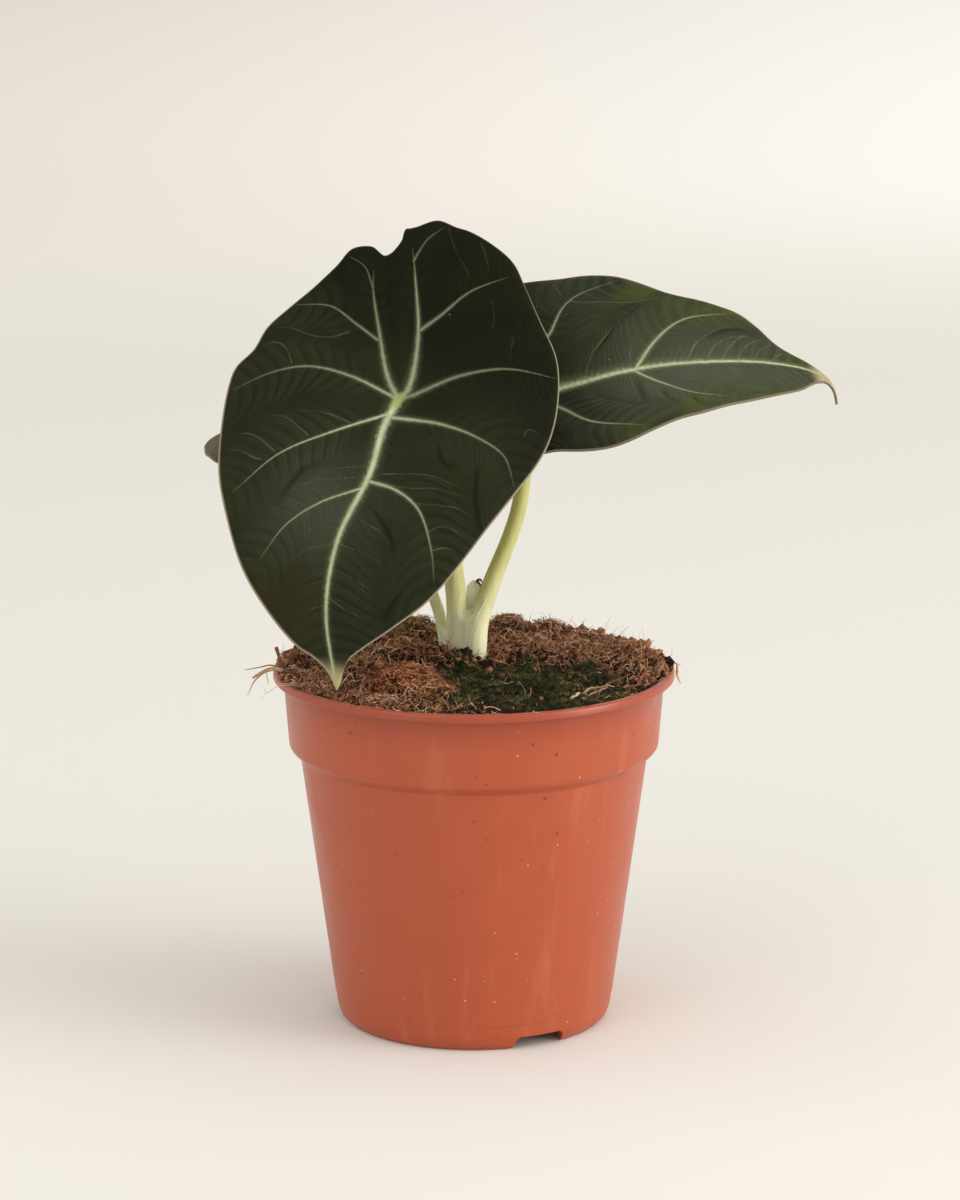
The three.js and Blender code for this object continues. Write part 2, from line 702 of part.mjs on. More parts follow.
// what a tuft keeps clear of: the soil under it and the pot's lip beside it
function lipKeepOut() {
  const inner = SOIL_RADIUS - 0.4;
  const outer = LIP_RADIUS + GAP;
  const profile = [[inner, 80], [outer, 80], [outer, POT_HEIGHT + GAP], [inner, POT_HEIGHT + GAP]];
  return toSolid(turned(profile, POT_SIDES));
}

function addTufts(raisedSoil) {
  const keepOut = raisedSoil.add(lipKeepOut());
  Object.entries(TUFTS).forEach(([name, tuft], index) => {
    const body = largestBody(buildTuft(tuft, FIRST_TUFT_SEED + index).subtract(keepOut));
    addPiece(name, fromSolid(body), 'coir');
  });
}

const crownHole = toSolid(crownBody(GAP, POT_HEIGHT + 20));
addPiece('pot', buildPot(), 'pot');
addPiece('soil', fromSolid(toSolid(soilPlug(0)).subtract(crownHole)), 'peat');
addPiece('crown', buildCrown(), 'sheath');
addPiece('leaf_sheath', flatSheath(0, SHEATH_FOOT_Z, SHEATH_TOP_Z), 'sheath');
for (const [name, leaf] of Object.entries(LEAVES)) {
  addPiece(`petiole_${name}`, buildStalk(leaf), 'stalk');
  addPiece(`blade_${name}`, buildBlade(leaf), leaf.colour);
}
addTufts(toSolid(soilPlug(GAP)));

export default plant;
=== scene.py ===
# The looks of a potted black velvet alocasia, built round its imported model.
# Metres, +Z up. The origin is the centre of the pot's base, on the surface that it stands on.
# Lengths are written in millimetres times MM. Those in tables are in plain millimetres.
import math

import bmesh
import bpy
import numpy as np
from mathutils import Matrix, Vector, noise


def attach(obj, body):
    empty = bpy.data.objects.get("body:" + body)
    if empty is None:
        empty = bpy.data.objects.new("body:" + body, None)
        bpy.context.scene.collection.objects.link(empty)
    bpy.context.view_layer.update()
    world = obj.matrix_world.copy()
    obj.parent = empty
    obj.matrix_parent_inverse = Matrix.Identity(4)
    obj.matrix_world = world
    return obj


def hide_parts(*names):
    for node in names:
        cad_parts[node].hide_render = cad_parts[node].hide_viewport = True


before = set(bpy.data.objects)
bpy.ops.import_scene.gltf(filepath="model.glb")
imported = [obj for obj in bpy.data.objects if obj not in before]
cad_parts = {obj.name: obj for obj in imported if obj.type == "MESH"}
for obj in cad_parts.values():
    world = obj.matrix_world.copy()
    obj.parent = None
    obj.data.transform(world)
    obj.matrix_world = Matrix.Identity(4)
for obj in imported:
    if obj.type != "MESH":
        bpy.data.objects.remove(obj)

MM = 0.001
DEGREE = math.pi / 180
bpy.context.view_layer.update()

# Pot
POT_HEIGHT = 107.3 * MM
LIP_RADIUS = 60 * MM
LIP_Z = 104.6 * MM
WALL = 1.2 * MM
FOOT_RADIUS = 38.8 * MM
FLOOR_Z = 6.5 * MM
FLOOR_LINE_Z = 7.9 * MM  # a faint step in the wall, level with the floor
DISC_RADIUS = 15.5 * MM
DISC_SLOPE = 3.5 * MM
BODY_FOOT_RADIUS = 41.6 * MM
BODY_TOP_RADIUS = 52 * MM
BODY_TOP_Z = 81.3 * MM
COLLAR_FOOT_RADIUS = 55.3 * MM
COLLAR_FOOT_Z = 84.6 * MM
COLLAR_TOP_RADIUS = 56.9 * MM
POT_STEPS = 144
CORNER_ROUND = 0.45 * MM
NOTCH_WIDTH = 19 * MM
NOTCH_HEIGHT = 4 * MM
NOTCH_LEAN = 1.9 * MM
NOTCH_COUNT = 3
FIRST_NOTCH = -61 * DEGREE
DRAIN_RADIUS = 3.5 * MM
DRAIN_RING = 27 * MM
DRAIN_COUNT = 6

# Peat, and what lies on it
SIDE_GAP = 0.35 * MM
PEAT_RADIUS = 56.9 * MM  # at the top, where the lip flares
PEAT_SHOULDER_Z = LIP_Z - 0.3 * MM
PEAT_EDGE_Z = 106.8 * MM
PEAT_CROWN_Z = 108 * MM
PEAT_FOOT_Z = 9 * MM
PEAT_CELLS = 160
STRAND_SIDES = 3
STRAND_GAP = 0.1 * MM  # above the peat
PEAT_CRUMBS = 5200
BANKED_CRUMBS = 900  # against the pot's wall
SHORT_FIBRES = 7400
MOSS_SPRIGS = 17000
# lumps of peat: x, y, reach and height in millimetres
PEAT_LUMPS = [
    (-34, 32, 13, 3), (-20, 38, 8, 4.5), (-9, 33, 7, 2), (34, 22, 11, 1), (-45, 2, 10, 2),
    (-22, 12, 9, 2.5), (-8, -3, 6, 2.5), (-4, -34, 12, 1.5), (20, -28, 14, 2), (38, -14, 10, 1.5),
    (-38, -30, 9, 1), (-4, 9, 9, 1.2), (4, 1, 3, 1),
]
MOSS_PLACE = (15 * MM, -28 * MM)
MOSS_HALF = (29 * MM, 29 * MM)
MAP_STEP = 0.5 * MM
MAP_HALF = 62 * MM

# Stalks, crown and sheath, with MM left out where they go with the stalks' table
CROWN_PLACE = (-4 * MM, 10.2 * MM)
CROWN_WIDTH = 11.5 * MM
CROWN_DEPTH = 8.7 * MM
CROWN_FOOT_Z = 82 * MM
CROWN_TOP_Z = 108.5 * MM
STALK_FOOT_Z = 98
STALK_SIDES = 28
STALK_STEPS = 90
SHEATH_PLACE = (0.2, 13.7)
SHEATH_FOOT_Z = 102
SHEATH_TOP_Z = 131
SHEATH_HALF_WIDTHS = (2.2, 2.5, 2.6, 2.3)
SHEATH_THICKNESS = 0.45 * MM
SHEATH_CELLS = (26, 60)
CLASP_FOOT_Z = 104
CLASP_DIP = 4
CLASP_CELLS = (20, 40)

# Blades: the thickness, then heights and reaches of their relief in plain millimetres
BLADE_THICKNESS = 0.7 * MM
MIDRIB_EASE = 4
QUILT = 1.3  # the rise between main veins
QUILT_REACH = 5
RIPPLE = 0.34  # the ribs between fine side veins
RIPPLE_SPACING = 4.2
RIPPLE_EASE = 2.2
VALLEY_DEPTH = 0.2  # midway between two main veins
VALLEY_REACH = 2.6
SIDE_VEIN_DEPTH = 0.16
SIDE_VEIN_REACH = 0.9
CREASE_DEPTH = 0.4
CREASE_REACH = 0.8
FLUTTER = 0.3
ROLLED_EDGE = 0.35
VEIN_SLOTS = 13  # main veins and forks that a blade may have
VEIN_SPREAD = 0.78  # share of a vein's width that is pale
VEIN_FADE = 1.35  # how far a vein has faded away at its end
FAR_AWAY = 99.0

# Leaves in millimetres and degrees: u runs to one side and v towards the tip, from the stalk's top.
# droop bends the blade: places along v and its slope there. fold lifts its sides and sag lets
# them fall again. wave is the edge's height, how many waves it has, and their phase.
# pale_tip is where along v the tip turns pale. satin is where grey sheen is painted on the nap: u, v, its
# reach along both and its strength. deep is the way to the side with painted shade, and from where to
# where.
# A vein is its points, its half width at its start and end, and how pale it is there, which is
# the leaf's own paleness where a vein doesn't say. The first vein is the midrib, and those past
# the number of mains are forks. Side veins are thin pale lines, and creases are folds, sunk in and
# painted with shade.
FRONT_LEAF = {
    "attach": (-22, -11, 190.4),
    "heading": -112,
    "drop": 60,
    "bank": -19,
    "droop": [(-60, -14), (-25, -6), (0, 0), (40, 2), (75, 8), (95, 20)],
    "fold": 0.16,
    "sag": 0.0036,
    "wave": (0.7, 7, 0.4),
    "cells": 160,
    "pale_tip": (79, 86),
    "satin": [(-16, 36, 16, 17, 0.85), (31, 1, 11, 11, 0.3)],
    "painted_dark_side": (0.5, -0.87, -6, 26),
    "outline": [
        (-1.2, 88.4), (-0.6, 83.8), (0.4, 79.4), (3.6, 75.8), (11.2, 68.4), (20.5, 57.7), (33.2, 32.9),
        (39.3, 21.1), (44.2, 9.5), (46, 0.3), (45.5, -11.9), (42.9, -21.5), (36, -32.5), (29.2, -43.2),
        (24.8, -49.3), (17.9, -53.8), (10.3, -57.3), (6.2, -58.3), (0.1, -60.1), (-5.7, -56.5),
        (-7.9, -55.4), (-8.45, -55.3), (-8.7, -53.8), (-8.8, -51.4), (-10.7, -46.6), (-12.3, -44.8),
        (-13.4, -44.5), (-14.9, -45.3), (-17.2, -46.5), (-22.5, -44.4), (-26, -37.7), (-31.1, -30.1),
        (-36.6, -23.3), (-42.2, -15.3), (-44.8, -7.3), (-48.9, -1), (-49.9, 4.8), (-49.4, 18.8),
        (-47.4, 31.5), (-43.3, 42.6), (-35, 58.6), (-25, 69.9), (-14.7, 78.2), (-9.7, 80.3), (-5.3, 83.2),
        (-2.6, 86.4),
    ],
    "mains": 11,
    "veins": [
        ([(0, 0), (-2.6, 8.9), (-3.9, 23.7), (-9.3, 45), (-8.6, 66.2), (-1.7, 87.1)], 1.9, 0.5, 1, 0.6),
        ([(0, 0), (-4.3, -5.8), (-9.9, -20.2), (-14.1, -32.6), (-15.1, -38.8)], 1.3, 0.1, 0.5, 0.1),
        ([(-9.5, -16.7), (-17.1, -20.6), (-25.1, -24.5), (-35.9, -23.4)], 0.55, 0.1, 0.25, 0.12),
        ([(0, 0), (2.1, -3.3), (2, -19.5), (-2.9, -39.9), (-5.4, -49)], 1.5, 0.1, 0.5, 0.28),
        ([(2.2, -22.5), (7.2, -28.2), (14.2, -37.1), (24.3, -44.1)], 0.7, 0.1, 0.3, 0.12),
        ([(0, 0), (-14.9, -4.1), (-27.7, -4.8), (-37.8, -1.3), (-48.4, 5.8)], 0.85, 0.1, 0.55, 0.05),
        ([(0, 0), (3.9, -2), (16.1, -10), (29.5, -14.8), (44, -15)], 0.95, 0.1, 0.3, 0.15),
        ([(-2.5, 5.1), (-16.9, 13.4), (-31.3, 23.2), (-42, 36.9)], 0.7, 0.1, 0.8, 0.4),
        ([(-1, 5.8), (13.7, 5.5), (24.8, 7.5), (33.6, 11.6), (38.2, 20.1)], 0.95, 0.1, 0.6, 0.12),
        ([(-5.2, 28.3), (-16.7, 35.3), (-25.1, 43.9), (-30.5, 55.4)], 0.6, 0.1, 0.6, 0.2),
        ([(-3.4, 26.1), (4.1, 27.3), (12, 32), (18.1, 43.4), (20.8, 53.1)], 0.85, 0.1, 0.68, 0.1),
        ([(-14.1, -32.6), (-18.1, -39.2), (-23.1, -41.2)], 0.25, 0.1, 0.1, 0.05),
        ([(-4.2, -44.4), (-3.3, -48), (-1.4, -53), (2.7, -57.8)], 0.3, 0.1, 0.15, 0.05),
    ],
    "side_veins": [
        [(-23.6, 15.9), (-31.4, 11.9), (-36.5, 12.3), (-43, 15.4)],
        [(-32.8, -5), (-35.8, -9.4), (-38.8, -10.5), (-43, -8.6)],
        [(-32.6, 22.4), (-38.5, 19), (-42.7, 18.7), (-47, 21.2)],
        [(3.8, -58), (5.7, -53.3), (8.1, -48.9), (10.3, -45.8), (12.9, -42), (13.4, -37.5)],
        [(14.2, -53.9), (16.8, -48.9), (19.3, -43.4)],
        [(-4.4, -44.4), (-1, -52.1), (1.1, -55.4), (3.5, -57.6)],
        [(21.1, -35.2), (22.5, -31), (22.9, -27.4), (22.3, -23.4)],
        [(29.5, -25), (29.5, -20.8), (29.9, -15)],
        [(-18.2, -17.4), (-21.8, -15.1), (-27, -14.1), (-31.2, -14.8), (-36.1, -15.8), (-40.5, -14.5)],
        [(-35.8, 25.6), (-37.7, 25.5), (-41.3, 24.3), (-44.7, 24.1), (-47.5, 25.6)],
        [(-1.9, 23.6), (6.8, 22.2), (13.4, 21.7), (20.2, 22.9), (27.4, 24.3)],
        [(0.5, 26), (8.5, 26.2), (14.1, 25.4), (20.7, 25.5), (27.3, 26.6)],
        [(9.9, 30.5), (17.6, 29.9), (22.9, 29.8), (28.4, 31.4)],
        [(16.2, 38), (19.4, 36), (23.4, 36.2), (27, 38.4)],
        [(18.5, 43.3), (21.9, 41.9), (26, 42.4)],
        [(-6, 31.9), (-1.6, 33.2), (1.3, 36.2)],
        [(-7, 37.4), (-0.4, 39.5), (4.1, 42.2), (7.6, 46.8)],
        [(-9, 46.2), (-2.8, 47.4), (2, 48.6), (7.4, 52.5)],
        [(-9, 53.4), (-2.5, 55.8), (3.3, 58.5), (8, 60.8)],
        [(-8.6, 62.4), (-3.4, 64.9), (1.6, 66.7), (5.6, 69)],
        [(-9.3, 46), (-12.2, 47.1), (-17, 49.4), (-21.4, 53.7), (-25.1, 59)],
        [(-9.6, 57), (-15, 59.7), (-19, 62.6), (-22.4, 66)],
        [(-8.8, 64.4), (-13, 66.7), (-16.6, 70.4)],
        [(-4.4, 24.6), (-12.2, 27), (-18.4, 29), (-23.1, 32), (-27.7, 35.3), (-32.8, 39.6), (-36.5, 44.4)],
        [(-4.2, 21.4), (-12.7, 24.1), (-17.6, 26.4), (-20.9, 29.8), (-26.8, 32.9)],
        [(-12.3, 9.7), (-20.6, 8.5), (-26.8, 9.2), (-31.8, 10.7)],
        [(38, 4.4), (38.8, 2.2), (40.8, 2.1), (42.6, 3)],
    ],
    "creases": [
        [(25.8, 14), (26.9, 20.4), (27.6, 25.7), (29.3, 30.6), (31.5, 36)],
        [(13.6, 11), (15.7, 16.2), (18, 17.8), (21.5, 17.1)],
        [(-4.5, 31.4), (0.4, 36), (3.1, 38.5), (5.7, 42), (8.2, 48)],
        [(-29, 39), (-25.3, 30.3), (-22.5, 26), (-17, 23.6)],
        [(-11.6, -43), (-10, -32.3), (-7.4, -22.3), (-4.6, -12.7)],
        [(30, -36), (31.5, -28), (32.5, -20)],
        [(12, 57), (9.5, 62.5), (8.5, 67)],
    ],
}
RIGHT_LEAF = {
    "attach": (16, 20, 185),
    "heading": 10,
    "drop": 0,
    "bank": 24,
    "droop": [
        (-60, 0), (0, -17), (22, -17), (45, -4), (65, 3), (84, 16), (92, 34), (99, 66), (108, 85),
    ],
    "fold": 0.27,
    "sag": 0.0032,
    "wave": (0.9, 8, 1),
    "cells": 150,
    "pale_tip": (86, 92),
    "satin": [(-6, 50, 22, 36, 1), (38, 17, 9, 9, 0.3)],
    "painted_dark_side": (0, -1, -34, -4),
    "outline": [
        (0, 104), (1, 99), (1.6, 94), (4.4, 84), (8.1, 78.2), (15.4, 73.4), (22.5, 68.5), (28, 60.9),
        (33.6, 48), (43.5, 33.9), (49.8, 22.5), (53.4, 9.3), (52.5, -6), (47, -19), (37, -28), (25, -31),
        (13, -27), (5, -19), (0, -14), (-5, -18), (-12, -25), (-21, -27), (-29, -20), (-33.5, -8),
        (-36, 3), (-38.6, 11.6), (-39.4, 21.8), (-37.5, 31.9), (-32.9, 45.3), (-26.7, 57.4), (-22.4, 67),
        (-14.9, 80.5), (-6, 89), (-1.9, 94), (-1, 99),
    ],
    "paleness": (0.8, 0.4),
    "mains": 9,
    "veins": [
        ([(0, 0), (0, 30), (0, 60), (0, 85), (0, 103)], 2.6, 0.5, 1, 0.9),
        ([(0, 0), (16, 5.5), (24, 12.1), (36.2, 20.4), (40, 36)], 1.1, 0.12),
        ([(0.5, 33.7), (11, 41.7), (19.3, 51.8), (21.7, 67.2)], 1.05, 0.12),
        ([(0, 0), (-11.2, 8.2), (-24.8, 16), (-35.3, 30.6)], 1.1, 0.12),
        ([(-0.5, 33), (-9.9, 38.5), (-19.1, 46.9), (-23, 58)], 0.85, 0.12),
        ([(0, 0), (13, -7), (30, -11), (45, -10)], 1.1, 0.12),
        ([(0, 0), (7, -12), (18, -22), (27, -27)], 1.2, 0.12),
        ([(0, 0), (-12, -6), (-24, -8), (-32, -6)], 1.1, 0.12),
        ([(0, 0), (-7, -12), (-15, -20), (-21, -24)], 1.2, 0.12),
    ],
    "side_veins": [
        [(0.9, 49.4), (7.4, 53.2), (11.3, 57.5), (14.1, 62.7), (14.6, 66.4), (13.2, 70)],
        [(0.9, 55), (5.5, 58.2), (8.7, 61.8), (10.2, 66.2), (10.7, 71)],
        [(0.8, 60.2), (5.4, 63), (9.7, 67.3), (11, 72.4)],
        [(0.8, 64.7), (5.6, 67.8), (8.3, 71.3), (9.7, 75.8)],
        [(0.5, 69.7), (4.3, 71.9), (7.1, 75.4), (7.9, 79.4)],
        [(0.4, 75), (3.6, 77.9), (4.7, 82.4)],
        [(-0.6, 55), (-7.6, 57.3), (-13.4, 59.6), (-16.9, 63.5), (-18.4, 72)],
        [(-0.6, 68.4), (-8.7, 70.2), (-13.9, 74.2)],
        [(-0.5, 74.2), (-5.8, 76.4), (-9.4, 79.6)],
        [(36.4, 20.6), (32.7, 24.6), (30.9, 28.4), (28.5, 36.6), (30.8, 48)],
        [(1.2, 18.4), (7.8, 21.2), (12.3, 24.7), (18.8, 30.7), (25.9, 37.9), (28.6, 43)],
        [(0.8, 32.4), (7.9, 33.5), (13.2, 35.9)],
        [(47.3, 17.8), (40.2, 18.8), (36.1, 21.1)],
        [(25, 12.4), (22.3, 15.9), (20.9, 20)],
        [(-1.2, 17.2), (-11.6, 18.5), (-17.8, 21.6)],
        [(-13.6, 37.3), (-20.2, 37.5), (-26, 40.4)],
        [(-1, 31.4), (-12.3, 30.9), (-23.6, 31.8)],
    ],
    "creases": [
        [(-5, 33), (-13.7, 32.8), (-25, 32.4)],
        [(-14, 39), (-21.6, 39), (-27, 42)],
        [(-5.5, 20.4), (-12.9, 21), (-19.4, 25.5), (-25, 31.5)],
        [(-20.5, 46), (-26.1, 47.5), (-28.5, 52)],
        [(3, 20.6), (8.2, 23), (14.5, 27.6), (21, 33), (26.5, 40)],
        [(9, 56.5), (12.4, 61), (13.2, 66.4), (12.2, 70)],
    ],
}
LEFT_LEAF = {
    "attach": (-51, 24, 181),
    "heading": 98,
    "drop": 12,
    "bank": -12,
    "droop": [(-40, -95), (-18, -85), (-7, -45), (0, -12), (25, 12), (50, 34), (62, 50)],
    "fold": 0.1,
    "sag": 0.0085,
    "wave": (0.8, 6, 2),
    "cells": 88,
    "pale_tip": (53, 59),
    "satin": [(0, 24, 20, 20, 1)],
    "painted_dark_side": (0, -1, 0, 60),
    "outline": [
        (0, 60), (1.6, 55), (5, 50), (14, 42), (23, 31), (29.5, 17), (31.4, 5), (31.5, -5), (29.5, -12.5),
        (23, -17), (15, -18.5), (6.5, -15.5), (0, -10), (-6.5, -15.5), (-15, -19.5), (-24, -17.5),
        (-30, -9), (-32, 3), (-30, 16), (-23, 31), (-14, 42), (-5, 50), (-1.6, 55),
    ],
    "paleness": (0.4, 0.2),
    "mains": 9,
    "veins": [
        ([(0, 0), (0, 30), (0, 59)], 1.2, 0.35),
        ([(0, 0), (13, 4), (25, 14)], 0.6, 0.1),
        ([(0, 20), (10, 27), (17, 37)], 0.5, 0.1),
        ([(0, 0), (-13, 4), (-25, 14)], 0.6, 0.1),
        ([(0, 20), (-10, 27), (-17, 37)], 0.5, 0.1),
        ([(0, 0), (12, -3), (28, -5)], 0.6, 0.1),
        ([(0, 0), (7, -8), (16, -16)], 0.7, 0.1),
        ([(0, 0), (-12, -3), (-28, -5)], 0.6, 0.1),
        ([(0, 0), (-7, -8), (-15, -16)], 0.7, 0.1),
    ],
    "side_veins": [
        [(0.6, 8), (8, 11), (15, 17), (19, 24)],
        [(-0.6, 8), (-8, 11), (-15, 17), (-19, 24)],
        [(0.5, 36), (6, 39), (10, 44)],
        [(-0.5, 36), (-6, 39), (-10, 44)],
    ],
    "creases": [[(3, 14), (9, 18), (15, 24)], [(-3, 14), (-9, 18), (-15, 24)]],
}
LEAVES = {"front": FRONT_LEAF, "right": RIGHT_LEAF, "left": LEFT_LEAF}

# Stalks: their route in millimetres up to the blade, their radii from foot to top, and how much painted
# shade darkens their left flanks
STALKS = {
    "front": {
        "route": [
            (-5.2, 11.5, STALK_FOOT_Z), (-5.2, 11.5, 112), (-5.6, 9, 130), (-10, 4, 155), (-19.5, -2, 178),
        ],
        "radii": [3, 3.05, 3.1, 2.7, 2.4, 2.2, 2.1],
        "shaded": 0.2,
    },
    "right": {
        "route": [
            (0.6, 7.5, STALK_FOOT_Z), (0.6, 7.5, 112), (1.6, 8.2, 120), (5, 9.8, 130), (13.2, 14, 152),
            (15.8, 18, 172),
        ],
        "radii": [3.3, 3.3, 2.8, 2.4, 2.3, 2.2, 2.1],
        "shaded": 0.45,
    },
    "left": {
        "route": [
            (-8.9, 15.4, STALK_FOOT_Z), (-9, 15.4, 112), (-12.4, 15.4, 126), (-27, 18, 150), (-42, 22, 167),
        ],
        "radii": [1.7, 1.8, 1.7, 1.5, 1.4, 1.3],
        "shaded": 0.35,
    },
}


# Pieces and small shapes
def new_object(name, data):
    """An object at the origin, shown in the scene."""
    item = bpy.data.objects.new(name, data)
    bpy.context.scene.collection.objects.link(item)
    return item


def add_piece(name, mesh, materials, slot, *nodes):
    """Shows a mesh as a piece of the plant that rides on the pot's body and may replace nodes."""
    piece = new_object(name, mesh)
    for material in materials:
        mesh.materials.append(material)
    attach(piece, "root")
    if nodes != (None,):
        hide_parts(*nodes)
    return piece


def thicken(piece, thickness, under=0, rim=0):
    """Makes a sheet solid, evenly to both sides. Its other faces take materials further on."""
    wall = piece.modifiers.new("thickness", "SOLIDIFY")
    wall.thickness = thickness
    wall.offset = 0
    wall.material_offset = under
    wall.material_offset_rim = rim


def smoothed(mesh):
    mesh.polygons.foreach_set("use_smooth", [True] * len(mesh.polygons))
    return mesh


def to_mesh(name, shape):
    """A bmesh as a smooth mesh."""
    mesh = bpy.data.meshes.new(name)
    shape.to_mesh(mesh)
    shape.free()
    return smoothed(mesh)


def grid_mesh(name, across, up, flipped=True):
    """A flat grid from -1 to 1. It is flipped where its points are moved to the other hand."""
    shape = bmesh.new()
    bmesh.ops.create_grid(shape, x_segments=across, y_segments=up, size=1)
    if flipped:
        bmesh.ops.reverse_faces(shape, faces=shape.faces)
    return to_mesh(name, shape)


def points_of(mesh):
    points = np.zeros(len(mesh.vertices) * 3)
    mesh.vertices.foreach_get("co", points)
    return points.reshape(-1, 3)


def move_points(mesh, points):
    mesh.vertices.foreach_set("co", np.asarray(points, float).ravel())
    mesh.update()


def set_attribute(mesh, name, values):
    kind, field = ("FLOAT", "value") if np.ndim(values) == 1 else ("FLOAT_VECTOR", "vector")
    attribute = mesh.attributes.new(name, kind, "POINT")
    attribute.data.foreach_set(field, np.asarray(values, np.float32).ravel())


def repeated(name, shape, places):
    """A mesh of many copies of a small shape. places has every copy's points, one row a copy."""
    shape.verts.index_update()
    faces = [[corner.index for corner in face.verts] for face in shape.faces]
    per_copy = len(shape.verts)
    shape.free()
    mesh = bpy.data.meshes.new(name)
    starts = range(0, len(places) * per_copy, per_copy)
    corners = [[start + index for index in face] for start in starts for face in faces]
    mesh.from_pydata(places.reshape(-1, 3), [], corners)
    return smoothed(mesh)


def catmull_rom(points, per_span, closed=False):
    """Points along a smooth centripetal spline, evenly spread between each two of its points."""
    points = np.asarray(points, float)
    if closed:
        padded = np.concatenate([points[-1:], points, points[:2]])
    else:
        padded = np.concatenate([2 * points[:1] - points[1:2], points, 2 * points[-1:] - points[-2:-1]])
    share = np.arange(per_span)[:, None] / per_span
    pieces = []
    for span in range(len(padded) - 3):
        a, b, c, d = padded[span:span + 4]
        gaps = np.sqrt(np.linalg.norm([b - a, c - b, d - c], axis=1))
        first, middle, last = np.maximum(gaps, 1e-4)
        leave = ((b - a) / first - (c - a) / (first + middle) + (c - b) / middle) * middle
        arrive = ((c - b) / middle - (d - b) / (middle + last) + (d - c) / last) * middle
        square, cube = share**2, share**3
        pieces.append(
            b * (2 * cube - 3 * square + 1) + leave * (cube - 2 * square + share)
            + c * (3 * square - 2 * cube) + arrive * (cube - square)
        )
    if not closed:
        pieces.append(points[-1:])
    return np.concatenate(pieces)


def steps_of(path):
    """The length of each step along a path."""
    return np.linalg.norm(np.diff(path, axis=0), axis=1)


def summed(steps):
    """How far each point of a path lies along it."""
    return np.concatenate([[0], np.cumsum(steps)])


def read_off(wanted, along, path):
    """The places on a path at these amounts, where `along` is each of its points' own amount."""
    return np.stack([np.interp(wanted, along, column) for column in path.T], axis=1)


def evenly_along(path, count):
    """The same path, as points that lie evenly along its length."""
    length = summed(steps_of(path))
    return read_off(np.linspace(0, length[-1], count), length, path)


def unit(vectors):
    return vectors / np.maximum(np.linalg.norm(vectors, axis=-1, keepdims=True), 1e-9)


def bell(values, reach):
    """1 where a value is 0, falling away past its reach."""
    return np.exp(-((values / reach) ** 2))


def smooth_step(values, low, high):
    share = np.clip((values - low) / (high - low), 0, 1)
    return share * share * (3 - 2 * share)


def tube_shape(sides, steps):
    """A closed tube of radius 1 along Z from 0 to 1, with a ring of points at each step."""
    shape = bmesh.new()
    bmesh.ops.create_cone(
        shape, cap_ends=True, segments=sides, radius1=1, radius2=1, depth=1,
        matrix=Matrix.Translation((0, 0, 0.5)),
    )
    upright = [edge for edge in shape.edges if abs(edge.verts[0].co.z - edge.verts[1].co.z) > 0.5]
    bmesh.ops.subdivide_edges(shape, edges=upright, cuts=steps - 1)
    return shape


def bend_tubes(shape, paths, radii):
    """Where the points of a unit tube lie once it follows each of the paths, with these radii."""
    points = np.array([corner.co for corner in shape.verts])
    steps = paths.shape[1] - 1
    ring = np.rint(points[:, 2] * steps).astype(int)
    along = unit(np.gradient(paths, axis=1))
    level = np.where(np.abs(along[..., 2:]) < 0.9, (0.0, 0.0, 1.0), (0.0, 1.0, 0.0))
    aside = unit(np.cross(along, level))
    upward = np.cross(aside, along)
    wide = radii[:, ring, None] if np.ndim(radii) == 2 else radii[:, ring]
    return (
        paths[:, ring]
        + aside[:, ring] * wide[..., :1] * points[:, 0, None]
        + upward[:, ring] * wide[..., -1:] * points[:, 1, None]
    )


def stem_mesh(name, path, radii, sides=STALK_SIDES, steps=STALK_STEPS):
    """One round stem along a path, whose radii are spread evenly from its foot to its top."""
    path = evenly_along(path, steps + 1)
    share = np.linspace(0, 1, steps + 1)
    wide = np.interp(share, np.linspace(0, 1, len(radii)), radii)
    shape = tube_shape(sides, steps)
    ring = np.rint([corner.co.z * steps for corner in shape.verts]).astype(int)
    places = bend_tubes(shape, path[None], wide[None])
    mesh = repeated(name, shape, places)
    set_attribute(mesh, "flank", (places[0, :, 0] - path[ring, 0]) / wide[ring])
    return mesh


# Shader nodes
class Value:
    """What a node puts out. It adds, subtracts and multiplies like a number."""

    def __init__(self, shader, socket):
        self.shader = shader
        self.socket = socket

    def __getitem__(self, output):
        """Another output of the same node, by its name or its place."""
        return Value(self.shader, self.socket.node.outputs[output])

    def __add__(self, other):
        return self.shader.maths("ADD", self, other)

    def __sub__(self, other):
        return self.shader.maths("SUBTRACT", self, other)

    def __mul__(self, other):
        return self.shader.maths("MULTIPLY", self, other)

    def step(self, low, high, to_low=0, to_high=1):
        """A smooth step from to_low to to_high while the value goes from low to high."""
        values = (self, low, high, to_low, to_high)
        return self.shader.add("MapRange", values, interpolation_type="SMOOTHSTEP")


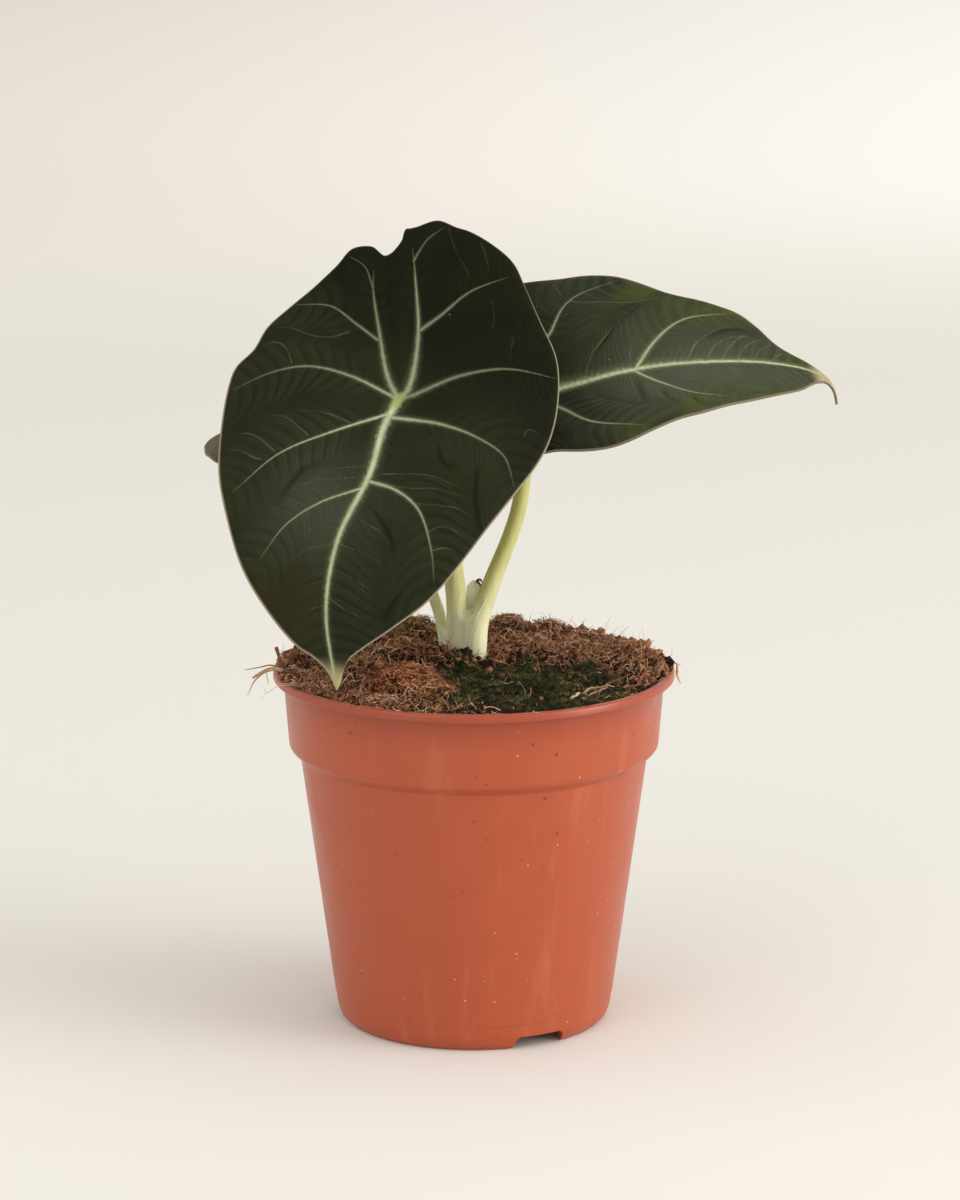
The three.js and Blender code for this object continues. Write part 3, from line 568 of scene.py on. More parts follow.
class Shader:
    """Adds nodes to a tree. What goes into a node is a number, a colour or a Value."""

    def __init__(self, tree):
        self.tree = tree
        self.place = None

    def put(self, value, socket):
        if isinstance(value, Value):
            self.tree.links.new(value.socket, socket)
        else:
            socket.default_value = (*value, 1) if socket.type == "RGBA" else value

    def add(self, kind, inputs=(), **settings):
        """A new node, as its first output. Its inputs are given by name, or in their order."""
        node = self.tree.nodes.new("ShaderNode" + kind)
        for name, value in settings.items():
            setattr(node, name, value)
        for name, value in inputs.items() if isinstance(inputs, dict) else enumerate(inputs):
            self.put(value, node.inputs[name])
        return Value(self, node.outputs[0])

    def maths(self, operation, *values, clamp=False):
        return self.add("Math", values, operation=operation, use_clamp=clamp)

    def mix(self, share, first, second, kind="MIX"):
        """The first colour where the share is 0, and the second where it is 1."""
        return self.add("Mix", {0: share, 6: first, 7: second}, data_type="RGBA", blend_type=kind)[2]

    def layers(self, colour, *layers):
        """The colour under layers of others, each with the share of it that shows."""
        for share, other in layers:
            colour = self.mix(share, colour, other)
        return colour

    def attribute(self, name):
        return self.add("Attribute", attribute_name=name)["Fac"]

    def length_of(self, name):
        """The length of a piece's attribute of three parts."""
        vector = self.add("Attribute", attribute_name=name)["Vector"]
        return self.add("VectorMath", [vector], operation="LENGTH")["Value"]

    def noise(self, scale, detail=3, roughness=0.55, place=None):
        values = {"Scale": scale, "Detail": detail, "Roughness": roughness, "Distortion": 0.0}
        return self.add("TexNoise", {"Vector": place or self.place, **values})

    def fibres(self, scale, detail=3):
        """Noise with a scale of its own along each axis."""
        drawn_out = self.add("Mapping", {"Vector": self.place, "Scale": scale})
        return self.noise(1, detail, place=drawn_out)

    def group(self, tree, **values):
        node = self.add("Group", node_tree=tree).socket.node
        for name, value in values.items():
            self.put(value, node.inputs[name])
        if "Place" in node.inputs:
            self.put(self.place, node.inputs["Place"])
        return Value(self, node.outputs[0])

    def specks(self, scale, size, share):
        return self.group(specks, Scale=scale, Size=size, Share=share)

    def bump(self, height, strength, distance, normal=None):
        values = {"Height": height, "Strength": strength, "Distance": distance * MM}
        if normal:
            values["Normal"] = normal
        return self.add("Bump", values)


class Finish(Shader):
    """The shader of a new material."""

    def __init__(self, name):
        self.material = bpy.data.materials.new(name)
        self.material.use_nodes = True
        super().__init__(self.material.node_tree)
        self.place = self.add("TexCoord")["Object"]

    def height(self):
        return self.add("SeparateXYZ", [self.place])["Z"]

    def done(self, colour, roughness, normal=None, **others):
        """The material. Its surface's other inputs are named as they are, joined by _."""
        inputs = self.tree.nodes["Principled BSDF"].inputs
        self.put(colour, inputs["Base Color"])
        self.put(roughness, inputs["Roughness"])
        if normal:
            self.put(normal, inputs["Normal"])
        for name, value in others.items():
            self.put(value, inputs[name.replace("_", " ")])
        return self.material


def new_group(name, inputs, build):
    """A node group that puts out what build gives for its inputs: numbers, and the place."""
    tree = bpy.data.node_groups.new(name, "ShaderNodeTree")
    for label in inputs:
        kind = "NodeSocketVector" if label == "Place" else "NodeSocketFloat"
        tree.interface.new_socket(label, in_out="INPUT", socket_type=kind)
    shader = Shader(tree)
    given = tree.nodes.new("NodeGroupInput").outputs
    given = {label: Value(shader, given[label]) for label in inputs}
    shader.place = given.get("Place")
    made = build(shader, given)
    for label in made:
        tree.interface.new_socket(label, in_out="OUTPUT", socket_type="NodeSocketFloat")
    end = tree.nodes.new("NodeGroupOutput")
    for label, value in made.items():
        shader.put(value, end.inputs[label])
    return tree


def grain_nodes(shader, given):
    """Fine grain and broad mottling at one scale, for every surface that has a skin."""
    fine = shader.noise(given["Scale"], 4, 0.6)
    broad = shader.noise(shader.maths("DIVIDE", given["Scale"], 14), 3, 0.5)
    return {"Fine": fine, "Broad": broad}


def speck_nodes(shader, given):
    """Small round specks of dust or dirt, of which only a share shows."""
    cells = shader.add("TexVoronoi", {"Vector": shader.place, "Scale": given["Scale"]})
    colour = shader.add("SeparateColor", [cells["Color"]])
    size = given["Size"] * colour[1].step(0, 1, 0.4, 1)
    inside = shader.maths("LESS_THAN", cells["Distance"], size)
    shown = shader.maths("LESS_THAN", colour[0], given["Share"])
    return {"Mask": inside * shown}


def main_vein_nodes(shader, given):
    """How far a place is from the nearest main vein, where 1 is that vein's edge, and its mask."""
    nearest = shader.length_of("vein_0")
    for slot in range(1, VEIN_SLOTS):
        nearest = shader.maths("MINIMUM", nearest, shader.length_of(f"vein_{slot}"))
    outer = shader.maths("ADD", 1, given["Softness"])
    inner = shader.maths("SUBTRACT", 1, given["Softness"])
    return {"Mask": (nearest - given["Feather"]).step(outer, inner), "Distance": nearest}


def fine_vein_nodes(shader, given):
    """Thin lines where the side veins run, the fold that runs with them, streaks along them, and painted
    light on one side of each rib.
    """
    rung = shader.attribute("rung")
    gap = shader.attribute("vein_gap")
    away = shader.maths("ABSOLUTE", shader.maths("FRACT", rung) - 0.5)
    line = shader.maths("SUBTRACT", 0.5, away).step(given["Width"], 0)
    shown = shader.noise(70, 2).step(0.46, 0.72)
    apart = shader.attribute("between").step(1, 9)
    waves = shader.maths("SINE", rung * (4 * math.pi))
    # painted light: paler on one side of each rib, as if lit from that side
    rib_light = shader.maths("SINE", rung * (2 * math.pi)).step(-1, 1)
    flow = shader.add("CombineXYZ", {"X": rung * 1.7, "Y": gap * 0.08})
    streak = shader.noise(1, 2, 0.5, flow) - 0.5
    uneven = shader.noise(160, 2).step(0.3, 0.65, 0.25, 1)
    return {
        "Line": line * shown * (gap.step(0, 1.5) * apart),
        "Fold": waves * shader.noise(110, 1),
        "RibLight": rib_light * apart,
        "Streak": streak * (apart * 0.7 + 0.3) + 0.5,
        "Side": shader.length_of("side_vein").step(0.42, 0.06) * uneven,
    }


grain = new_group("grain", ["Place", "Scale"], grain_nodes)
specks = new_group("specks", ["Place", "Scale", "Size", "Share"], speck_nodes)
main_veins = new_group("main veins", ["Feather", "Softness"], main_vein_nodes)
fine_veins = new_group("fine veins", ["Place", "Width"], fine_vein_nodes)

# Leaf finishes
BRONZE = (0.025, 0.0165, 0.0046)
FRESH_GREEN = (0.055, 0.066, 0.012)
# painted shade, multiplied into a leaf's colour
SHADE = (0.38, 0.37, 0.24)
VEIN_CORE = (0.52, 0.54, 0.345)
VEIN_EDGE = (0.190, 0.220, 0.115)
VEIN_DIM = (0.060, 0.068, 0.036)
VEIN_LIME = (0.27, 0.32, 0.09)
MARGIN_BEIGE = (0.36, 0.31, 0.215)
MARGIN_BROWN = (0.115, 0.075, 0.052)
TIP_BEIGE = (0.36, 0.31, 0.16)
UNDER_GREEN = (0.105, 0.115, 0.06)
UNDER_BRONZE = (0.15, 0.085, 0.06)
UNDER_VEIN = (0.36, 0.40, 0.225)
DUST = (0.45, 0.46, 0.4)
# A leaf's skin: its dark and soft tones, the grey of its painted sheen, the colours of its finest lines
# and its margin, then how much shows of those lines, of the painted light on one side of each rib, of
# bronze, and of green near its edge
SKIN_PARTS = ("dark", "soft", "grey", "line", "margin", "lines", "bands", "bronze", "green")
SKINS = {
    "front": (
        (0.0098, 0.0114, 0.0030), (0.0155, 0.0182, 0.0060), (0.050, 0.055, 0.034),
        (0.085, 0.098, 0.054), MARGIN_BEIGE, 0.2, 0.12, 0.6, 0.12,
    ),
    # the right leaf's tones are lighter than the front's: partly its own greener colour, partly painted
    # light on a blade that faces the lamps
    "right": (
        (0.0142, 0.0166, 0.0052), (0.0255, 0.0300, 0.0115), (0.070, 0.078, 0.047),
        (0.155, 0.180, 0.092), (0.17, 0.15, 0.095), 0.22, 0.3, 0, 1,
    ),
    "left": (
        (0.066, 0.056, 0.025), (0.105, 0.088, 0.044), (0.155, 0.138, 0.074),
        (0.21, 0.19, 0.11), (0.30, 0.25, 0.17), 0.25, 0.15, 0.3, 0.3,
    ),
}


def leaf_top(name, skin, pale_tip):
    """Velvet upper face: near black green with pale feathered veins, painted grey sheen in patches, painted
    light on one side of each rib, and painted shade towards one side and along its creases.
    """
    shader = Finish(f"{name} leaf top")
    soft, grey, line = skin["soft"], skin["grey"], skin["line"]
    velvet = shader.group(grain, Scale=2600)
    fine = shader.group(fine_veins, Width=0.09)
    reach, along = shader.attribute("reach"), shader.attribute("along")
    streak = fine["Streak"]
    broad = shader.noise(60, 2).step(0.3, 0.7, 0.2, 0.75)
    tone = shader.maths("ADD", broad, streak.step(0.3, 0.7, -0.13, 0.13), clamp=True)
    # painted sheen: grey laid on the nap where it would catch the light
    satin = shader.attribute("satin") * streak.step(0.3, 0.7, 0.75, 1)
    bronze = shader.noise(28, 2).step(0.5, 0.72, 0, skin["bronze"])
    outer = reach.step(0.5, 1, skin["green"] * 0.2, skin["green"])
    green = shader.maths("MULTIPLY", shader.noise(38).step(0.45, 0.7), outer, clamp=True)
    colour = shader.layers(
        skin["dark"],
        (tone, soft),
        # painted light on one side of each rib
        (fine["RibLight"] * skin["bands"], grey),
        (satin, grey),
        (bronze * along.step(20, 65, 0.3, 1), BRONZE),
        (green, FRESH_GREEN),
        (fine["Line"] * skin["lines"], line),
        (fine["Side"] * 0.75, line),
    )
    # painted shade: darker towards one side of the blade and along its creases
    shade = shader.maths("MAXIMUM", shader.attribute("painted_dark_side"), shader.attribute("crease") * 0.9)
    feather = shader.noise(850).step(0.36, 0.7, -0.12, 0.34)
    veins = shader.group(main_veins, Feather=feather, Softness=0.5)
    core = veins["Distance"].step(0.95, 0.15) * shader.noise(300, 2).step(0.3, 0.7, 0.7, 1)
    vein = shader.mix(core, VEIN_EDGE, VEIN_CORE)
    vein = shader.mix(shader.attribute("paleness"), VEIN_DIM, vein)
    rim = shader.attribute("rim_gap").step(along.step(-40, 60, 0.45, 0.95), 0.1)
    colour = shader.layers(
        colour,
        (shade, shader.mix(1, colour, SHADE, "MULTIPLY")),
        (velvet["Fine"].step(0.5, 0.8, 0, 0.2), soft),
        (veins["Distance"].step(3.2, 0.9, 0, 0.34), line),
        (veins["Mask"] * 0.95, shader.mix(reach.step(0.06, 0.01, 0, 0.8), vein, VEIN_LIME)),
        (along.step(*pale_tip), TIP_BEIGE),
        (rim * 0.85, shader.mix(along.step(-52, -22), MARGIN_BROWN, skin["margin"])),
        (shader.specks(420, 0.14, 0.02) * 0.2, DUST),
    )
    rough = velvet["Broad"].step(0.3, 0.7, 0.5, 0.62)
    normal = shader.bump(velvet["Fine"], 0.25, 0.12, shader.bump(fine["Fold"], 0.4, 0.25))
    return shader.done(
        colour, rough, normal, Specular_IOR_Level=0.07, Sheen_Weight=0.014, Sheen_Roughness=0.36,
        Sheen_Tint=(0.95, 0.95, 0.55),
    )


def leaf_under():
    """Lower face: dull green flushed with bronze, with lighter raised veins."""
    shader = Finish("leaf under")
    skin = shader.group(grain, Scale=1800)
    lines = shader.group(fine_veins, Width=0.09)
    veins = shader.group(main_veins, Feather=0, Softness=0.2)
    colour = shader.layers(
        UNDER_GREEN,
        (skin["Broad"].step(0.35, 0.1), UNDER_BRONZE),
        (lines["Side"] * 0.7, UNDER_VEIN),
        (lines["Line"] * 0.4, UNDER_VEIN),
        (veins["Mask"] * 0.9, UNDER_VEIN),
        (shader.attribute("rim_gap").step(1.2, 0.2), MARGIN_BEIGE),
    )
    normal = shader.bump(skin["Fine"], 0.3, 0.1, shader.bump(veins["Mask"], 0.8, 0.5))
    return shader.done(
        colour, 0.5, normal, Specular_IOR_Level=0.35, Subsurface_Weight=0.08,
        Subsurface_Radius=(0.6 * MM, 0.8 * MM, 0.3 * MM),
    )


def leaf_margin(name, pale):
    """The thin rim of the blade: brown round its lobes, and paler towards its tip."""
    shader = Finish(f"{name} leaf margin")
    flush = shader.noise(60, 2).step(0.4, 0.65, 0, 0.5)
    upper = shader.attribute("along").step(10, -45, 0, 0.7)
    colour = shader.mix(shader.maths("ADD", flush, upper, clamp=True), pale, MARGIN_BROWN)
    normal = shader.bump(shader.group(grain, Scale=2200)["Fine"], 0.3, 0.1)
    return shader.done(colour, 0.55, normal, Specular_IOR_Level=0.3)


# Stalk, sheath and pot finishes
# painted shade laid on a stalk's left flank, away from the lamps
FLANK_SHADE = (0.36, 0.355, 0.045)


def stalk_skin(name, foot, top, foot_z, top_z, shaded=0):
    """Smooth, slightly clear skin that goes from one colour at its foot to another at its top, with painted
    shade down its left flank.
    """
    shader = Finish(name)
    height = shader.height()
    # painted shade on the left flank, growing above the foot
    flank = shader.attribute("flank").step(0.25, -0.75, 0, shaded)
    flank_shade_rise = height.step((foot_z + 4) * MM, (foot_z + 22) * MM, 0.12, 1)
    colour = shader.layers(foot, (height.step(foot_z * MM, top_z * MM), top), (flank * flank_shade_rise, FLANK_SHADE))
    fibres = shader.fibres((900, 900, 35))
    darker = shader.mix(1, colour, (0.86, 0.88, 0.74), "MULTIPLY")
    soiled = height.step(112 * MM, 108 * MM, 0, 0.75) * shader.noise(500).step(0.45, 0.6)
    colour = shader.layers(
        colour,
        (fibres.step(0.42, 0.7), darker),
        (shader.noise(160).step(0.5, 0.75, 0, 0.35), darker),
        (shader.specks(700, 0.2, 0.04) * 0.5, (0.12, 0.07, 0.03)),
        (soiled, (0.16, 0.09, 0.045)),
    )
    return shader.done(
        colour, 0.45, shader.bump(fibres, 0.14, 0.25), Specular_IOR_Level=0.4, Subsurface_Weight=0.4,
        Subsurface_Radius=(2.4 * MM, 2.2 * MM, 0.9 * MM), Subsurface_Scale=1,
    )


def sheath_skin():
    """Thin whitish skin, dry and brown along its torn top. Its whiteness is partly its own and partly
    painted light, as if lit through from behind.
    """
    shader = Finish("sheath skin")
    fibres = shader.fibres((1100, 1100, 60))
    side = shader.add("SeparateXYZ", [shader.place])["X"]
    edge = shader.height() + shader.noise(500) * (5 * MM) + side * 0.8
    colour = shader.layers(
        # whitish base: partly its own colour, partly painted light shining through
        (0.90, 0.88, 0.70),
        (fibres.step(0.3, 0.7), (0.78, 0.75, 0.53)),
        (edge.step(133.2 * MM, 134.8 * MM, 0, 0.9), (0.16, 0.07, 0.035)),
    )
    return shader.done(
        colour, 0.6, shader.bump(fibres, 0.2, 0.2), Specular_IOR_Level=0.3, Subsurface_Weight=0.5,
        Subsurface_Radius=(2 * MM, 1.9 * MM, 1.2 * MM), Subsurface_Scale=1,
    )


def dry_skin():
    """The brown, papery tip of the old sheath."""
    shader = Finish("dry skin")
    fibres = shader.fibres((1500, 1500, 120))
    colour = shader.mix(fibres, (0.035, 0.012, 0.008), (0.20, 0.09, 0.045))
    return shader.done(colour, 0.75, shader.bump(fibres, 0.6, 0.3))


def pot_plastic():
    """Satin terracotta plastic, with faint mould lines, scuffs, dust and splashes of peat, and painted
    shade darkening it towards the lip.
    """
    shader = Finish("pot plastic")
    skin = shader.group(grain, Scale=900)
    height = shader.height()
    # painted shade: the collar darkens towards the lip
    upper = height.step(93 * MM, 104 * MM)
    worn = shader.fibres((160, 160, 14)).step(0.55, 0.75, 0, 0.22)
    splashed = height.step(50 * MM, 90 * MM, 0.4, 1) * 0.85
    colour = shader.layers(
        (0.365, 0.055, 0.0105),
        (skin["Broad"], (0.412, 0.067, 0.015)),
        (worn, (0.52, 0.17, 0.09)),
        (shader.specks(300, 0.17, 0.32) * splashed, (0.085, 0.016, 0.009)),
        (shader.specks(330, 0.10, 0.22) * 0.6, (0.75, 0.5, 0.36)),
        # painted shade towards the lip
        (upper * 0.65, (0.28, 0.034, 0.009)),
    )
    rough = skin["Broad"].step(0.3, 0.7, 0.32, 0.42) - upper * 0.06 + worn * 0.5
    moulded = shader.bump(shader.fibres((55, 55, 22), 2), 0.12, 0.9)
    return shader.done(
        colour, rough, shader.bump(skin["Fine"], 0.05, 0.2, moulded), Specular_IOR_Level=0.62,
        Subsurface_Weight=0.06, Subsurface_Radius=(3 * MM, 1 * MM, 0.5 * MM),
    )


# Peat, coir and moss finishes: dark, middle and light tones
PEAT_TONES = ((0.014, 0.0065, 0.0035), (0.150, 0.058, 0.026), (0.34, 0.155, 0.075))
CLOD_TONES = ((0.020, 0.010, 0.006), (0.100, 0.046, 0.025), (0.30, 0.17, 0.095))
STRAND_TONES = ((0.05, 0.02, 0.012), (0.30, 0.135, 0.075), (0.72, 0.52, 0.32))
MIXED_TONES = ((0.12, 0.042, 0.018), (0.46, 0.200, 0.090), (0.76, 0.51, 0.30))
RUST_TONES = ((0.10, 0.024, 0.009), (0.43, 0.135, 0.050), (0.74, 0.44, 0.24))
PINK_TONES = ((0.09, 0.030, 0.015), (0.47, 0.205, 0.105), (0.84, 0.58, 0.39))
GOLD_TONES = ((0.10, 0.055, 0.018), (0.32, 0.20, 0.065), (0.58, 0.42, 0.16))
MOSS_TONES = ((0.010, 0.0145, 0.005), (0.048, 0.047, 0.015), (0.17, 0.16, 0.055))


def crumb_finish(name, tones, scale=420):
    """Rough crumbly or fibrous matter in three tones, which the pieces' own tone shifts."""
    shader = Finish(name)
    dark, middle, light = tones
    broad = shader.noise(scale * 0.3, 4, 0.65)
    fine = shader.noise(scale * 2.2, 4, 0.7)
    level = broad * 0.7 + shader.attribute("tone") * 0.9 + fine * 0.3 - 0.12
    colour = shader.layers(dark, (level.step(0.55, 0.9), middle), (level.step(0.92, 1.25), light))
    return shader.done(colour, 0.9, shader.bump(fine, 0.7, 0.5), Specular_IOR_Level=0.2)


# Leaves
def blade_axes(leaf):
    """The blade's side, forward and face directions, before it bends."""
    heading, drop, bank = (leaf[name] * DEGREE for name in ("heading", "drop", "bank"))
    ahead = np.array([
        math.cos(drop) * math.cos(heading), math.cos(drop) * math.sin(heading), -math.sin(drop),
    ])
    level = np.array([-math.sin(heading), math.cos(heading), 0])
    side = level * math.cos(bank) + np.cross(ahead, level) * math.sin(bank)
    return side, ahead, np.cross(ahead, side)


def place_on_blade(leaf, u, v, height):
    """The points of the plant, in millimetres, for places u, v and heights on a blade."""
    side, ahead, face = blade_axes(leaf)
    droop = np.array(leaf["droop"], float)
    line = np.arange(-130, 160.01, 0.5)
    bend = np.interp(line, droop[:, 0], droop[:, 1]) * DEGREE
    middle = (bend[1:] + bend[:-1]) / 2
    along = summed(np.cos(middle) * 0.5)
    down = summed(np.sin(middle) * 0.5)
    start = np.argmin(np.abs(line))
    angle = np.interp(v, line, bend)
    forward = np.interp(v, line, along - along[start]) + height * np.sin(angle)
    upward = np.interp(v, line, down[start] - down) + height * np.cos(angle)
    return (
        np.array(leaf["attach"]) + side * u[:, None] + ahead * forward[:, None] + face * upward[:, None]
    )


def disc_points(points):
    """Moves the points of a square from -1 to 1 to a round disc of radius 1."""
    x, y = points[:, 0], points[:, 1]
    return x * np.sqrt(1 - y * y / 2), y * np.sqrt(1 - x * x / 2)


def rim_at(outline, turn):
    """The outline's points for shares of the way round it, with more of them where it is long."""
    rim = catmull_rom(outline, 12, closed=True)
    rim = np.concatenate([rim, rim[:1]])
    steps = steps_of(rim)
    angles = np.unwrap(np.arctan2(rim[:, 0], rim[:, 1]))
    swept = np.abs(np.diff(angles))
    measure = 0.55 * steps / steps.sum() + 0.45 * swept / swept.sum()
    return read_off(turn, summed(measure), rim)


def vein_offsets(points, u, v):
    """For every place: the way from a vein's nearest point, its length, and how far along that is."""
    line = catmull_rom(points, 10)
    reached = summed(steps_of(line))
    place = np.stack([u, v], axis=1)
    best = np.full(len(u), np.inf)
    offset = np.zeros((len(u), 2))
    along = np.zeros(len(u))
    for index, (start, end) in enumerate(zip(line[:-1], line[1:])):
        step = end - start
        share = np.clip(((place - start) @ step) / (step @ step), 0, 1)
        away = place - start - share[:, None] * step
        distance = np.linalg.norm(away, axis=1)
        nearer = distance < best
        best = np.where(nearer, distance, best)
        offset[nearer] = away[nearer]
        along = np.where(nearer, reached[index] + share * np.linalg.norm(step), along)
    beyond = np.clip((place - line[-1]) @ unit(line[-1] - line[-2]), 0, None)
    past = np.where(along >= reached[-1] - 1e-6, beyond, 0)
    return offset, best, along / reached[-1], along + past + math.hypot(*points[0])


def smooth_noise(u, v, scale, seed):
    """Gentle noise between about -1 and 1 for every place."""
    return np.array([noise.noise(Vector((a / scale, b / scale, seed))) for a, b in zip(u, v)])


def side_vein_field(leaf, u, v):
    """The way from the nearest side vein, with a third part that grows away from it and to its end."""
    nearest = np.full(len(u), FAR_AWAY)
    field = np.full((len(u), 3), FAR_AWAY)
    for points in leaf["side_veins"]:
        offset, gap, share, _ = vein_offsets(points, u, v)
        nearer = gap < nearest
        nearest = np.where(nearer, gap, nearest)
        here = np.stack([*offset.T, gap**2 + 0.4 * share**3], axis=1)
        field[nearer] = here[nearer]
    return field, nearest


def crease_field(leaf, u, v):
    """How near every place is to a crease: 1 in its middle, and 0 past its sides and its ends."""
    nearness = np.zeros(len(u))
    for points in leaf["creases"]:
        offset, gap, share, _ = vein_offsets(points, u, v)
        here = bell(gap, CREASE_REACH) * np.sin(np.pi * np.clip(share, 0, 1)) ** 0.6
        nearness = np.maximum(nearness, here)
    return nearness


def blade_fields(leaf, u, v):
    """What the blade's height and finish need: veins, the gap to them and the side veins' steps."""
    fields = {}
    gaps = []
    weights = np.zeros(len(u))
    steps = np.zeros(len(u))
    pale = np.zeros(len(u))
    near = np.zeros(len(u))
    for index, (points, wide, narrow, *paleness) in enumerate(leaf["veins"]):
        bright, dull = paleness or leaf["paleness"]
        offset, gap, share, along = vein_offsets(points, u, v)
        half_width = VEIN_SPREAD * (wide + (narrow - wide) * share**0.8)
        fade = (0 if index == 0 else VEIN_FADE) * share**5
        fields[f"vein_{index}"] = np.stack([*(offset / half_width[:, None]).T, fade], axis=1)
        closeness = 1 / (gap**2 + 0.3) ** 3
        pale += closeness * (bright + (dull - bright) * share)
        near += closeness
        if index < leaf["mains"]:
            gaps.append(gap)
            weight = 1 / (gap**2 + 5) ** 2
            steps += weight * (along - 0.3 * gap - 0.012 * gap**2)
            weights += weight
    for index in range(len(leaf["veins"]), VEIN_SLOTS):
        fields[f"vein_{index}"] = np.full((len(u), 3), FAR_AWAY)
    fields["paleness"] = pale / near
    gaps = np.sort(np.array(gaps), axis=0)
    fields["vein_gap"] = gaps[0]
    fields["between"] = gaps[1] - gaps[0]
    wander = 0.1 * smooth_noise(u, v, 14.0, leaf["heading"])
    fields["rung"] = steps / weights / RIPPLE_SPACING + wander + 40
    fields["side_vein"], fields["side_gap"] = side_vein_field(leaf, u, v)
    fields["crease"] = crease_field(leaf, u, v)
    fields["satin"] = sum(
        strength * np.exp(-(((u - sheen_u) / reach_u) ** 2) - ((v - sheen_v) / reach_v) ** 2)
        for sheen_u, sheen_v, reach_u, reach_v, strength in leaf["satin"]
    )
    shade_u, shade_v, low, high = leaf["painted_dark_side"]
    fields["painted_dark_side"] = smooth_step(shade_u * u + shade_v * v, low, high)
    return fields


def blade_height(leaf, fields, u, v, reach, turn):
    """How high every place of the blade's middle layer lies above its bent plane."""
    midrib = catmull_rom(leaf["veins"][0][0], 8)
    out = u - np.where(v < 0, 0, np.interp(v, midrib[:, 1], midrib[:, 0]))
    fold = leaf["fold"] * (np.hypot(out, MIDRIB_EASE) - MIDRIB_EASE)
    gap = fields["vein_gap"]
    inside = 1 - reach**4
    quilt = QUILT * (1 - bell(gap, QUILT_REACH)) * inside
    amount, waves, phase = leaf["wave"]
    wave = amount * np.sin(waves * turn + phase) * reach**4
    between = fields["between"]
    ripple = RIPPLE * (np.sqrt(np.sin(np.pi * fields["rung"]) ** 2 + 0.03) - 0.65)
    ripple *= (1 - bell(gap, RIPPLE_EASE)) * (1 - reach**8) * (0.3 + 0.7 * smooth_step(between, 0, 8))
    valley = -VALLEY_DEPTH * bell(between, VALLEY_REACH) * smooth_step(gap, 4.5, 8.5) * inside
    crease = -CREASE_DEPTH * fields["crease"] * inside
    sunken = -SIDE_VEIN_DEPTH * bell(fields["side_gap"], SIDE_VEIN_REACH) * inside
    flutter = FLUTTER * smooth_noise(u, v, 11.0, 3.0) * reach**3
    rolled = -ROLLED_EDGE * smooth_step(reach, 0.965, 1.0)
    relief = quilt + wave + ripple + valley + crease + sunken + flutter + rolled
    return fold - leaf["sag"] * out * out + relief


def blade_mesh(name, leaf):
    """A round grid, drawn out to the leaf's outline and bent as the blade hangs."""
    mesh = grid_mesh(name, leaf["cells"], leaf["cells"])
    x, y = disc_points(points_of(mesh))
    reach = np.minimum(np.hypot(x, y), 1)
    turn = np.mod(np.arctan2(x, y), 2 * math.pi) / (2 * math.pi)
    rim = rim_at(leaf["outline"], turn)
    u, v = (reach[:, None] * rim).T
    fields = blade_fields(leaf, u, v)
    height = blade_height(leaf, fields, u, v, reach, np.arctan2(rim[:, 0], rim[:, 1]))
    move_points(mesh, place_on_blade(leaf, u, v, height) * MM)
    del fields["side_gap"]
    fields |= {"along": v, "reach": reach, "rim_gap": (1 - reach) * np.linalg.norm(rim, axis=1)}
    for label, values in fields.items():
        set_attribute(mesh, label, values)
    return mesh


def add_leaf(name):
    leaf = LEAVES[name]
    skin = dict(zip(SKIN_PARTS, SKINS[name]))
    finishes = [leaf_top(name, skin, leaf["pale_tip"]), under_finish, leaf_margin(name, skin["margin"])]
    mesh = blade_mesh(f"{name}_blade", leaf)
    piece = add_piece(f"{name}_leaf", mesh, finishes, "leaf", f"blade_{name}")
    thicken(piece, BLADE_THICKNESS, under=1, rim=2)


under_finish = leaf_under()
for leaf_name in LEAVES:
    add_leaf(leaf_name)


# Stalks
def stalk_mesh(name, leaf, stalk):
    """A stalk that rises out of the peat and meets the blade's underside square on."""
    seat = -BLADE_THICKNESS / MM / 2
    zero = np.zeros(1)
    below, top = (place_on_blade(leaf, zero, zero, zero + seat - away)[0] for away in (4.5, 0.1))
    route = catmull_rom([*stalk["route"], below, top], 20) * MM
    return stem_mesh(name, route, np.array(stalk["radii"]) * MM)


PALE_FOOT = (0.85, 0.835, 0.54)
YELLOW_TOP = (0.57, 0.55, 0.20)
YELLOWING = (112, 144)  # from which to which height, in millimetres
for side, stalk in STALKS.items():
    stalk_finish = stalk_skin(f"{side} stalk", PALE_FOOT, YELLOW_TOP, *YELLOWING, stalk["shaded"])
    stalk_piece = stalk_mesh(f"{side}_stalk", LEAVES[side], stalk)
    add_piece(f"{side}_stalk", stalk_piece, [stalk_finish], "stalk", f"petiole_{side}")


def stalk_at(stalk, heights):
    """The middle of a stalk at some heights, in millimetres."""
    route = catmull_rom(stalk["route"], 20)
    return read_off(heights, route[:, 2], route[:, :2])


def clasp_mesh(left, right, top_z):
    """A skin across the fronts of two stalks' feet, so that one grows out of the other."""
    mesh = grid_mesh("clasp", *CLASP_CELLS)
    grid = points_of(mesh)
    across, up = (grid[:, :1] + 1) / 2, (grid[:, 1] + 1) / 2
    middle = 1 - (2 * across[:, 0] - 1) ** 2
    z = CLASP_FOOT_Z + up * (top_z - CLASP_DIP * middle - CLASP_FOOT_Z)
    first, second = stalk_at(left, z), stalk_at(right, z)
    way = unit(second - first)
    front = np.stack([way[:, 1], -way[:, 0]], axis=1)
    places = first + across * (second - first)
    sink = (left["radii"][0] + across[:, 0] * (right["radii"][0] - left["radii"][0])) - 0.12
    sink -= 0.5 * middle + 2 * smooth_step(up, 0.82, 1) * middle
    places = places + front * sink[:, None]
    move_points(mesh, np.concatenate([places, z[:, None]], axis=1) * MM)
    mesh.polygons.foreach_set("material_index", [1] * len(mesh.polygons))
    return mesh


